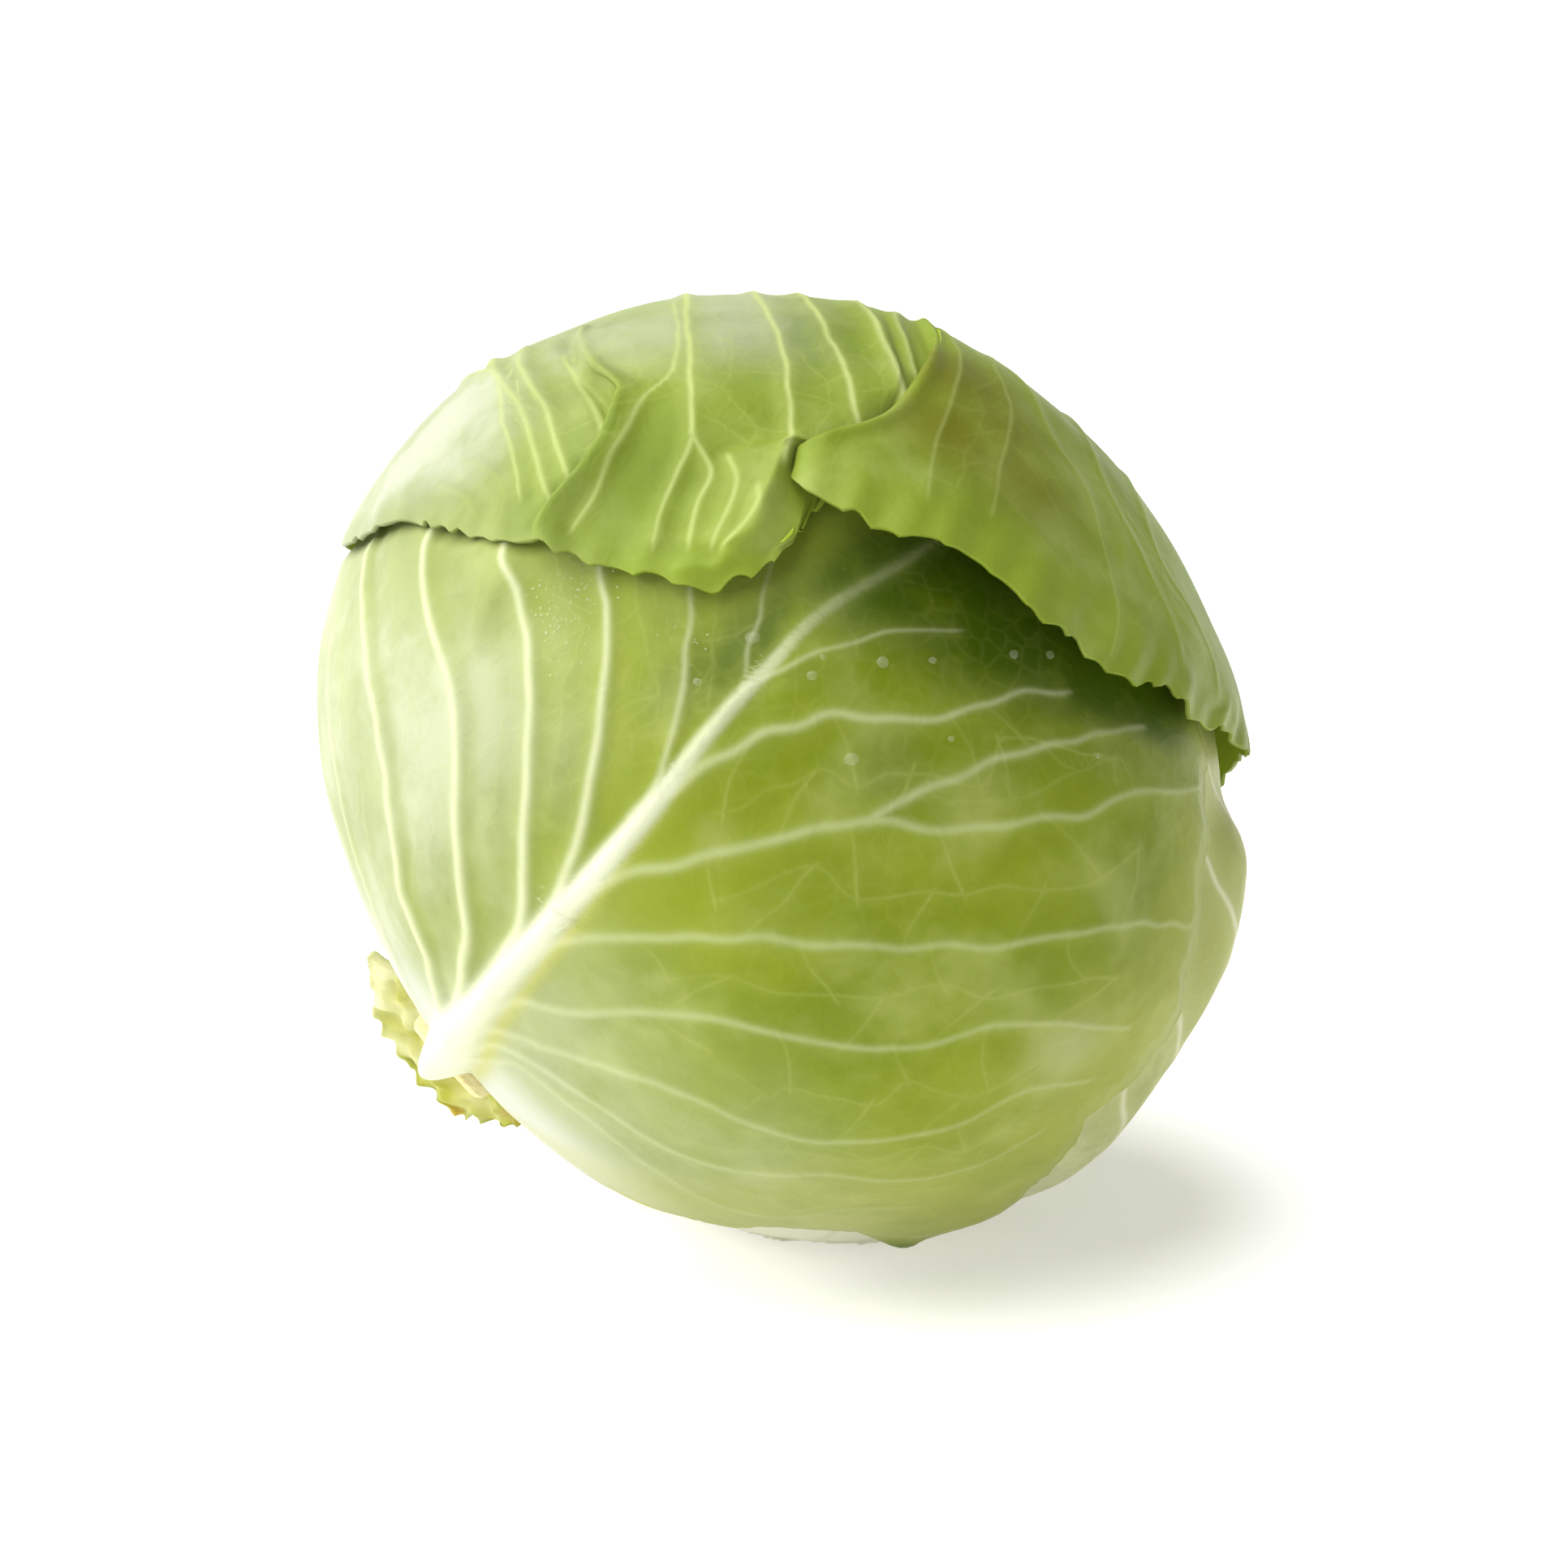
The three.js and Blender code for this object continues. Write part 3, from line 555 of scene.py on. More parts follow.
leftVeins = inSets([
    vein([(12, -14), (14, -29), (23, -40), (33, -52), (45, -62), (58, -70)], (1.0, 0.6), (0.8, 0.3),
         (0.5, 0.3)),
    vein([(14, -10), (22, -12), (29, -18), (34, -23), (38, -31), (45, -37), (55, -46), (62, -56), (66, -62),
          (75, -74)], (1.3, 0.6), (1.1, 0.6), (0.8, 0.6)),
    vein([(26, -7), (37, -11), (46, -16), (54, -24), (62, -30), (67, -36), (72, -48), (76, -53), (84, -62)],
         (1.3, 0.6), (1.2, 0.6), (0.85, 0.7)),
    vein([(42, -5), (52, -8), (59, -13), (65, -18), (72, -24), (76, -29), (80, -36), (83, -43), (92, -54)],
         (1.2, 0.55), (1.1, 0.5), (0.85, 0.65)),
    vein([(56, -5), (63, -8), (69, -11), (75, -15), (79, -18), (84, -23), (87, -27), (89, -31), (97, -42)],
         (1.1, 0.5), (0.9, 0.4), (0.75, 0.5)),
    vein([(72, -6), (79, -8), (84, -11), (90, -16), (95, -22), (101, -30)], (0.8, 0.45), (0.5, 0.25),
         (0.45, 0.28)),
    vein([(86, -8), (91, -9), (97, -13), (101, -16), (110, -24)], (0.55, 0.4), (0.35, 0.15), (0.3, 0.15)),
])
rightVeins = inSets([
    vein([(18, 4), (26, 9), (32, 13), (36, 32), (42, 55), (49, 62), (61, 62), (67, 66)], (1.15, 0.55),
         (0.45, 0.15), (0.22, 0.1)),
    vein([(22, 0), (33, 8), (40, 25), (46, 42), (54, 48), (62, 51), (68, 56), (76, 60), (84, 61)],
         (1.15, 0.55), (0.5, 0.2), (0.3, 0.12)),
    vein([(26, -1), (34, 2), (48, 19), (54, 27), (58, 36), (61, 41), (67, 45), (73, 48), (78, 50), (86, 52),
          (92, 59)], (1.15, 0.55), (0.55, 0.2), (0.3, 0.16)),
    vein([(32, -3), (42, 0), (48, 6), (62, 16), (68, 23), (74, 30), (78, 34), (84, 38), (89, 41), (94, 47),
          (99, 57)], (1.15, 0.55), (0.6, 0.2), (0.32, 0.2)),
    vein([(46, -4), (55, -2), (61, 2), (69, 8), (75, 13), (83, 21), (89, 27), (95, 33), (101, 38),
          (108, 47), (113, 58)], (1.15, 0.55), (0.65, 0.25), (0.32, 0.22)),
    vein([(58, -5), (65, -4), (71, -1), (75, 1), (83, 5), (90, 9), (93, 11), (97, 16), (102, 21), (106, 24),
          (112, 30), (119, 36), (129, 54)], (1.15, 0.55), (0.65, 0.25), (0.35, 0.25)),
    vein([(93, 11), (98, 12), (103, 14), (109, 17), (116, 22), (121, 26), (128, 34)], (0.9, 0.55),
         (0.45, 0.2), (0.35, 0.25)),
    vein([(74, -7), (80, -6), (89, -4), (94, -2), (98, 0), (104, 6), (108, 9), (112, 11), (117, 14),
          (122, 19)], (1.05, 0.55), (0.5, 0.2), (0.4, 0.3)),
    vein([(90, -9), (96, -8), (103, -6), (107, -4), (111, -2), (116, 2)], (0.6, 0.4), (0.3, 0.15),
         (0.3, 0.2)),
])
darkAndShadeSpots = [  # darker patches of the leaf, and painted shade below the cap leaf: from the stem, round, size in degrees, strength
    (84, -30, 11, 0.35), (99, 9, 7, 0.95), (92, -14, 5, 0.25), (83, 12, 8, 0.5), (96, 38, 10, 0.35),
    (76, 24, 9, 0.3), (111, 45, 8, 0.45), (36, 14, 3, 0.5), (100, -5, 3.5, 0.5), (94, 4, 3, 0.5),
    (83, 1, 6, 0.4), (75, -51, 4, 0.3), (61, -32, 6, 0.3), (48, -26, 5, 0.35), (84, 12, 5, 0.25),
    (70, 24, 4, 0.25), (86, -14, 5, 0.25), (75, -16, 5, 0.25), (32, -38, 4, 0.25), (83, 22, 5, 0.25),
    (60, 44, 5, 0.2), (44, 48, 5, 0.25), (62, 8, 6, 0.25),
]
paleSpots = [(93, 52, 5, 0.35), (29, 35, 7, 0.3), (64, -51, 7, 0.3), (54, 62, 6, 0.25)]


def spots(directions, places):
    total = np.zeros(len(directions))
    for fromStem, around, size, strength in places:
        total = np.maximum(total, strength * bell(apart(directions, towards(fromStem, around)), size))
    return total


def frontVeins():
    veins = leftVeins + rightVeins
    for k, (one, other) in enumerate(zip(leftVeins, leftVeins[1:])):
        veins = veins + web(one["path"], other["path"], 0.3, 7 - k // 2, 60 + k, (0.1, 0.14))
    ladder = [one for k, one in enumerate(rightVeins) if k not in (6, 8)]
    for k, (one, other) in enumerate(zip(ladder, ladder[1:])):
        veins = veins + web(one["path"], other["path"], 0.25, 8, 80 + k, (0.12, 0.26))
    veins = veins + web(rightVeins[5]["path"][6:], rightVeins[6]["path"], 0.2, 4, 90, (0.12, 0.18))
    return veins


def arcLength(fromStem):  # millimetres to a degree of turn
    return np.radians(1) * head["equatorRadius"] * np.sin(np.radians(fromStem))


def frontSkin(directions, fromStem, around):  # how high the blade lies, without its ribs
    offRib = (around - curve(frontLeaf["midrib"], fromStem)) * arcLength(fromStem)
    left = step(-around, 34, 42)
    level = head["frontLevel"] + 2.2 * step(beyondCap(directions) + 7 * left, 3, 20 - 9 * left)
    return level + 0.3 * ripples(directions, 0.42, 11) * (1 - bell(offRib, 12)) * step(fromStem, 20, 40)


def besideVeins(directions, veins, off, width, layout):  # 1 on a band that runs along one side of each vein
    total = np.zeros(len(directions))
    for k, one in enumerate(veins):
        _, _, aside, past = measured(directions, pathOf(one["path"], layout, one["wobble"], k))
        total = np.maximum(total, bell(aside - off, width) * bell(past, 3))
    return total


def frontPlace(u, v):
    s = frontLeaf
    fromStem = head["leafFoot"] + (s["top"] - head["leafFoot"]) * v
    leftEnd = curve(s["leftMargin"], fromStem)
    rightEnd = curve(s["rightMargin"], fromStem)
    wave = 0.45 * np.sin(fromStem * 0.62) + 0.3 * np.sin(fromStem * 1.31 + 1) * step(fromStem, 60, 75)
    cut = teeth(fromStem * 1.5, 1.1, 3.2, 3)
    rightEnd = rightEnd + (wave - cut * step(rightEnd - leftEnd, 30, 60)) / np.sin(np.radians(fromStem))
    around = leftEnd + (rightEnd - leftEnd) * u
    directions = towards(fromStem, around)
    arc = arcLength(fromStem)
    toMargin = (rightEnd - around) * arc  # millimetres in from the right margin
    offRib = (around - curve(s["midrib"], fromStem)) * arc
    half = curve(s["midribHalfWidth"], fromStem)
    ridge = np.where(abs(offRib) < half, np.cos(np.clip(offRib / half, -1, 1) * np.pi / 2), 0) ** 1.3
    relief, marks = veinField(directions, frontVeins(), towards)
    ridgeHeight = curve(s["midribHeight"], fromStem) * ridge
    beyond = beyondCap(directions)
    level = frontSkin(directions, fromStem, around)
    level = level - 0.9 * (1 - step(toMargin, 0, 8)) * step(fromStem, 30, 40)  # the margin is drawn in
    curl = bell(fromStem - s["curlPlace"], s["curlSpread"]) * (1 - step(toMargin, 0, 6))
    shaded = besideVeins(directions, leftVeins[1:6], -2.6, 2.6, towards)
    level = level + s["curlRise"] * curl - 0.35 * shaded
    outer = atHeight(directions, level + np.maximum(ridgeHeight, relief))
    inner = atHeight(directions, level - head["blade"])
    offWhite = offRib / curve(s["whiteHalfWidth"], fromStem)
    marks["acrossMid"] = np.clip(np.sign(offWhite) * abs(offWhite) ** 1.7, -farAcross, farAcross)
    marks["whiteMid"] = 1 - 0.5 * step(fromStem, 68, 92) - 0.4 * step(fromStem, 90, 112)
    lowRight = step(around, 20, 60)
    pale = 1 - 0.5 * step(fromStem, 14, 30 + 6 * lowRight) - 0.5 * step(fromStem, 34 + 8 * lowRight, 76)
    nearRib = bell(offRib, half * 2)
    # Painted light: the left side, which faces the lamp, is painted paler; the pale mark also holds the
    # leaf's real pale foot and midrib, and is made less pale on the shaded side of the left veins, as painted
    # shade
    litLeftSide = step(-around, 2, 40) * (1 - 0.8 * step(fromStem, 66, 86))
    pale = np.maximum.reduce([pale, 0.3 * nearRib * (1 - step(fromStem, 30, 90)), 0.85 * litLeftSide,
                              spots(directions, paleSpots)]) * (1 - 0.4 * shaded)
    bare = 1 - step(fromStem, 14, 34 + 8 * lowRight)
    # Painted shade: the dark mark is laid just below the cap leaf's margin and more faintly over the upper
    # middle further below it; the curl at the margin is also made darker, and the listed spots add darker
    # patches, most of them painted shade below the cap
    far = 1 - 0.6 * step(around, 5, 32)
    shadeUnderCap = (1 - step(beyond, 3 * far, 20 * far)) * step(around, -20, -12) * (1 - step(around, 40, 58))
    upper = 0.36 * (1 - step(beyond, 10 * far, 44 * far)) * step(around, -14, -3)
    deep = np.maximum.reduce([0.6 * spots(directions, darkAndShadeSpots), 1.05 * shadeUnderCap, upper, curl])
    # Painted light: the lower right, lit from the floor below it, is painted lighter with the vein colour and
    # yellower with the warm colour
    glow = np.maximum.reduce([marks["glow"], 0.6 * nearRib, 0.5 * step(around, 40, 66)])
    # Painted shade: the midrib's right flank, turned away from the lamp, is tinted yellow-green as it looks
    # in shade
    besideRib = 0.75 * bell(offRib / half - 1.15, 0.45) * (1 - step(fromStem, 60, 90))
    hem = 0.9 * (1 - step(toMargin, 5, 8)) * step(fromStem, 20, 32) * (1 - step(fromStem, 42, 54))
    warm = np.maximum.reduce([besideRib, 0.3 * step(around, 40, 62), hem])
    marks.update(glow=glow, deep=deep, pale=pale * (1 - curl), warm=warm * (1 - curl), bare=bare * (1 - hem))
    return outer, inner, marks


blade("frontLeaf", "front_leaf", frontLeaf, frontPlace)

# The cap leaf comes over the back and the crown.
# Lines run from its middle to the margin: degrees from the middle, round it, height at the margin and inland,
# and in a tuck how far the line lies from the tuck, closed and flat.
capLeaf = {
    "columns": 400, "rows": 118,
    "look": {"green": "768828", "dark": "66761a", "light": "849246", "deep": "3c5406", "warm": "646810",
             "pale": "adb09c", "bare": "adb09c", "vein": "96a350", "rib": "b0ba74", "midrib": "b0ba74",
             "inside": "94a830", "lit": 0.1, "sheen": (0.9, 1, 0.7, 1),
             "patchy": 0.9, "net": 0.06, "gloss": 0.42, "bump": 0.4, "glow": 0.08},
    "bigLip": [(56.4, 11.5), (70.4, 11.1), (81.8, 10.1), (90.3, 8.3), (95.1, 6.2), (98.1, 3.7), (100.2, 0.3)],
    "smallLip": [(72, -33), (78, -31.5), (84.3, -29.1), (89.8, -25.8), (93.2, -24.4), (98.1, -24.5),
                 (102.7, -26.3), (106, -29.4), (108.9, -32.6)],
    "band": [(101.9, -4.3), (108.8, -6.1), (113.2, -7.1), (115.3, -9.3), (117, -11.1), (117, -14.1)],
}
tuckLine = [(50, 11.5), (70, 11.1), (82, 10), (90, 8.3), (95, 6.2), (98, 3.6), (100.5, 0), (102.5, -3.2),
            (106, -3.6), (110, -4.4), (114, -5.5), (117, -8)]
smallTuckLine = [(60, -32), (74.5, -31.4), (85, -28.6), (90, -25.1), (93, -23.5), (97, -23.2),
                 (101.8, -24.2), (105, -26.5), (109, -30.5), (112, -32)]
tuckStrength = [(46, 0), (56, 0.1), (70, 0.38), (84, 0.88), (92, 1)]
smallTuckStrength = [(64, 0), (76, 0.25), (90, 0.45), (98, 1)]
leftLines = [
    (84, -70, 0.6, 0), (89, -65, 0.6, 0), (91.6, -61.8, 0.7, 0), (93.8, -58.2, 1.1, 0),
    (95.6, -55.1, 1.5, 0), (97, -52.6, 1.6, 0), (98.6, -50.9, 1.1, 0), (101.2, -48.4, 0.7, 0),
    (104.2, -44.8, 0.4, 0), (106.5, -41.2, 0.5, 0), (108.1, -38.6, 0.4, -0.3), (109.3, -36, 0.6, -0.6),
]
smallTuckLines = [
    (110, -34, 0.4, -1, -2.6, -3.2), (110.8, -32.4, 0.2, -1, -0.8, -2.4),
    (111.4, -30.9, 0.2, -0.6, 0.8, -1.6), (111.6, -30.1, 0.9, 0.3, 1.6, -0.8), (111, -30.8, 1.9, 1.4, 1, 0),
    (110.4, -32.2, 2.4, 2, -0.2, 0.8), (110.7, -33, 3.6, 3.3, -0.7, 1.6), (111.8, -32.4, 4.6, 4.3, 0, 2.4),
    (113, -31, 4, 4, 1.3, 3.2),
]
middleLines = [
    (114.4, -29, 2.8, 2.8), (115.7, -26.4, 1.8, 1.8), (116.8, -23.4, 1.4, 1), (118.2, -20, 1.2, 0.4),
    (119.1, -17, 1.2, 0.2), (119.9, -14.2, 1.3, 0.4),
]
tuckLines = [
    (120.4, -11.3, 1.6, 1, -2, -7.2), (119.7, -8.6, 1.8, 0.5, -0.8, -6.4),
    (118.8, -6.3, 1.8, 0.2, 0.4, -5.6), (117.5, -4.4, 1.5, 0.1, 1.5, -4.8), (114.5, -2.5, 1, 0, 2.6, -4),
    (111.6, -1.1, 0.6, 0, 3.7, -3.2), (109, -0.1, 0.3, 0, 4.7, -2.4), (107, 0.8, 0.2, 0, 5.6, -1.6),
    (105.9, 2, 0.9, 0.8, 6.1, -0.8), (105.4, 1.2, 2, 2, 5.3, 0), (105.4, -0.8, 2.4, 2.3, 2.8, 0.8),
    (106, -2.6, 3, 2.8, 0.6, 1.6), (107, -3.2, 4.4, 4, -0.2, 2.4), (108.2, -2.4, 6, 5.3, 0.7, 3.2),
    (109.4, -0.8, 6.7, 5.6, 2.6, 4.2), (110.8, 1.9, 7.4, 5.5, 5.2, 5.6), (112.2, 5, 8.5, 5, 8.2, 7.4),
]
rightLines = [
    (112.9, 8.2, 9, 4.6), (113.2, 11.8, 9.4, 4.2), (112.3, 16.6, 9, 3.6), (112.9, 21, 8.6, 3),
    (114.3, 25.4, 8, 2.6), (115, 29.5, 7.4, 2.2), (114.2, 33.5, 6.6, 1.8), (115.2, 37.4, 5.8, 1.5),
    (114, 41.3, 5.2, 1.2), (112.6, 45.2, 4.6, 1), (109.3, 50.4, 3.8, 0.8), (108, 55.3, 3, 0.6),
    (105, 60.8, 2.4, 0.4), (100, 66, 1.7, 0.2), (96.2, 72, 1.1, 0.1), (91.6, 77.5, 0.7, 0),
    (85.4, 83, 0.5, 0),
]
backLines = [
    (80, 88, 0.4, 0), (76, 94, 0.3, 0), (72.4, 101.5, 0.3, 0), (69.5, 110, 0.2, 0), (67, 120, 0.2, 0),
    (65.5, 132, 0.2, 0), (66, 146, 0.2, 0), (70, 160, 0.2, 0), (76, 172, 0.3, 0), (84, 184, 0.3, 0),
    (92, 196, 0.3, 0), (97, 206, 0.4, 0), (100, 214, 0.8, 0.2), (105.5, 222, 1.6, 0.3),
    (106.2, 226.6, 2.4, 0.6), (106.2, 231.4, 2.4, 0.6), (105, 235.6, 1.6, 0.3), (95, 242, 0.6, 0.2),
    (82, 249, 0.3, 0), (73, 258, 0.2, 0), (68.5, 268, 0.2, 0), (70.5, 277, 0.3, 0), (77, 284, 0.5, 0),
]
ridgeRise = [1.2, 2.8, 2.4, 1.4, 0.5]


def capLines():
    groups = [leftLines, smallTuckLines, middleLines, tuckLines, rightLines, backLines]
    rows = []
    for kind, lines in enumerate(groups):
        for k, line in enumerate(lines):
            share = (k + 0.5) / len(lines)
            big = {2: share, 3: 1, 4: 1 - share}.get(kind, 0)
            small = {0: share, 1: 1, 2: 1 - share}.get(kind, 0)
            across, flat = line[4:] if len(line) > 4 else (0, 0)
            rows.append([*line[:4], across, flat, big, small, kind, 0])
    table = np.array(rows, float)
    start = int((table[:, 8] < 3).sum()) - 1
    table[start:start + len(ridgeRise), 9] = ridgeRise
    return table


def capCoarse(table, share):  # degrees from the middle, round it, and height, for each share and line
    end, around, edge, inland, across, flat, big, small, kind, rise = table.T
    share = share[:, None]
    out = share * end
    bigNow, smallNow = big * curve(tuckStrength, out), small * curve(smallTuckStrength, out)
    strength = bigNow + smallNow
    free = (around + big * (curve(tuckLine, out) - curve(tuckLine, end))
            + small * (curve(smallTuckLine, out) - curve(smallTuckLine, end)))
    closing = step(share, 0.86, 1)
    held = np.array(free)
    for which, line in ((1, smallTuckLine), (3, tuckLine)):
        atEnd = around - curve(line, end)
        closed = across + (atEnd - across) * closing
        tucked = curve(line, out) + flat + (closed - flat) * strength
        held = np.where(kind == which, tucked, held)
    beside = [np.arange(len(table)) + k for k in range(-6, 7)]  # the line itself and six to each side
    spread = sum(held[:, j % len(table)] + 360 * (j // len(table)) for j in beside) / len(beside)
    held = spread + (held - spread) * step(out, 28, 56)  # lines spread evenly near the leaf's middle
    ridge = rise * step(out, 97, 102.5) * (1 - step(out, 114, 119.5))
    height = inland * strength + (edge - inland * strength) * step(share, 0.76, 1) + ridge
    return out, held, height


def acrossLines(values, position, turn=0.0):  # smooth between neighbouring lines, round the whole leaf
    count = values.shape[1]
    i = np.floor(position).astype(int)
    t = position - i
    a, b, c, d = (values[:, (i + k) % count] + turn * ((i + k) // count) for k in (-1, 0, 1, 2))
    return smoothBetween(a, b, c, d, t)


def capVein(path, width, height, white, side, name):
    return {**vein(path, width, height, white, 0.12, side=side), "set": name}


capVeins = [capVein(*row) for row in [
    ([(30, -90), (62, -56), (76, -43), (90, -38.4), (98, -36.1), (103, -35.4)], (0.8, 0.4), (1.0, 0.8),
     (0.4, 0.4), 0, "A"),
    ([(38, -70), (72, -45), (88, -36.7), (97.7, -33.6), (105.6, -31.4)], (0.9, 0.5), (1.1, 0.9),
     (0.5, 0.45), 0, "B"),
    ([(70, -41), (78, -38.9), (89.7, -33.3), (98.9, -30.5), (104.2, -28.8)], (0.6, 0.5), (0.9, 0.8),
     (0.4, 0.55), 0, "A"),
    ([(77.5, -33.5), (84.6, -30.6), (90.8, -27.7), (96.5, -25.6), (100.4, -25.9)], (0.5, 0.6), (0.8, 0.9),
     (0.5, 0.7), 0, "B"),
    ([(66, -22), (78, -19), (88, -18.1), (93.8, -20.3), (99.5, -21.7), (106.4, -24.8), (110.4, -27.9)],
     (0.5, 0.4), (0.4, 0.4), (0.4, 0.5), 0, "A"),
    ([(10, -60), (40, -28), (66, -20.3), (83, -16.9), (93, -15.5), (100.3, -14.7)], (0.8, 0.5), (0.8, 0.6),
     (0.6, 0.7), 0, "B"),
    ([(100.3, -14.7), (104.5, -15.8), (108.5, -17.2), (113.8, -18.6)], (0.5, 0.4), (0.6, 0.7), (0.5, 0.4),
     0, "A"),
    ([(100.3, -14.7), (105.2, -12.3), (109.8, -13.5), (114.1, -14.3)], (0.5, 0.5), (0.6, 0.9), (0.5, 0.5),
     0, "B"),
    ([(103.5, -10.4), (106.9, -9.2), (110.9, -9.9), (114.7, -11.2)], (0.5, 0.5), (0.6, 0.9), (0.4, 0.5),
     0, "A"),
    ([(108.6, -6.6), (110.7, -6.4), (113, -7.8), (115.2, -9.7)], (0.5, 0.5), (0.6, 0.9), (0.3, 0.4),
     0, "B"),
    ([(8, -20), (49.5, -14.8), (76, -7.7), (85.3, -5.6), (98.8, -3.8), (104, -4)], (0.8, 0.5), (0.8, 0.6),
     (0.65, 0.8), 0, "A"),
    ([(12, 40), (48.8, -7.1), (73.3, -1.9), (83.7, 1.2), (94, 3.4), (99, 5)], (0.8, 0.6), (0.8, 0.6),
     (0.65, 0.85), 0, "B"),
    ([(20, 60), (48.6, 2.6), (69.3, 4.9), (80, 7.1), (87.2, 8.7), (92, 9.6)], (0.8, 0.7), (0.8, 0.8),
     (0.7, 0.9), 0, "A"),
    ([(46, 10), (61.6, 7.5), (72, 8.8), (80, 9.8)], (0.7, 0.5), (0.6, 0.6), (0.6, 0.6), 0, "B"),
    ([(60, 14.5), (74, 15.1), (87, 13.8), (99.7, 11.9), (106.5, 11.7)], (0.5, 0.35), (0.4, 0.3),
     (0.28, 0.2), 1, "A"),
    ([(30, 60), (50, 27), (70.6, 20.6), (85, 21.4), (96.6, 20), (105.5, 19.4)], (0.6, 0.35), (0.5, 0.3),
     (0.28, 0.18), 1, "B"),
    ([(60, 24), (81, 27.4), (88, 32.4), (97.2, 35.6), (105.3, 38.4), (112, 39)], (0.6, 0.35), (0.4, 0.3),
     (0.26, 0.18), 1, "A"),
    ([(30, 84), (50, 42), (67.8, 37.2), (83, 37.2), (91.8, 43), (97.7, 48.6), (103, 51.5)], (0.6, 0.35),
     (0.5, 0.3), (0.26, 0.18), 1, "B"),
    ([(50, 56), (70.6, 47), (85.7, 47), (90, 54.4), (93.7, 60), (98, 62)], (0.5, 0.35), (0.4, 0.3),
     (0.26, 0.16), 1, "A"),
    ([(94, -43), (98.4, -38.9), (102.7, -37.6), (105, -38.2)], (0.6, 0.4), (0.6, 0.5), (0.1, 0.15), 0, "D"),
    ([(95, -47), (99.9, -42.9), (103, -41.7)], (0.6, 0.4), (0.6, 0.5), (0.1, 0.15), 0, "D"),
]]
capBack = [  # the midrib is on the back, from the foot over the middle; these leave it on both sides
    [(94, 229), (88, 243), (78, 252), (73, 256)],
    [(80, 229), (68, 246), (62, 262), (64, 276)],
    [(62, 229), (50, 250), (50, 270), (58, 284), (70, 292)],
    [(46, 229), (32, 252), (29, 268), (33, 278)],
    [(94, 229), (88, 214), (87, 202), (90, 192)],
    [(80, 229), (68, 212), (65, 194), (70, 178)],
    [(62, 229), (49, 208), (47, 184), (54, 162), (64, 150)],
    [(44, 229), (31, 200), (33, 165), (46, 140), (62, 132)],
    [(26, 229), (17, 180), (27, 130), (45, 114), (65, 110)],
    [(8, 229), (14, 110), (32, 96), (52, 92), (72, 90)],
]
capMidrib = [(104, 229), (80, 229.5), (50, 228.5), (20, 229), (4, 229), (20, 49), (44, 52), (60, 50)]
capPairs = [(1, 5, 0), (5, 10, 0), (10, 11, 0), (11, 12, 0), (14, 15, 1), (15, 16, 1), (16, 17, 1),
            (17, 18, 1)]


def allCapVeins():
    veins = list(capVeins)
    for k, (one, other, side) in enumerate(capPairs):
        shade = (0.1, 0.14) if side else (0.16, 0.22)
        veins += web(capVeins[one]["path"], capVeins[other]["path"], 0.45, 6, 120 + k, shade, side=side)
    for k, path in enumerate(capBack):
        veins.append(capVein(path, (1.1, 0.5), (0.8, 0.3), (0.7, 0.35), 0, "AB"[k % 2]))
    for k, (one, other) in enumerate(zip(capBack, capBack[1:])):
        if k != 3:
            veins += web(one, other, 0.35, 6, 140 + k, (0.2, 0.25), side=0)
    return veins


def crease(directions, path, rise, hollow):  # a lip on the right of a path, and a hollow on its left
    _, _, aside, past = measured(directions, pathOf(path, capTowards))
    return (rise * bell(aside - 1.1, 1.5) - hollow * bell(aside + 1.7, 1.7)) * bell(past, 3)


def capPuff(directions):  # the swelling of the leaf between its veins
    return 0.3 * ripples(directions, 0.35, 21)


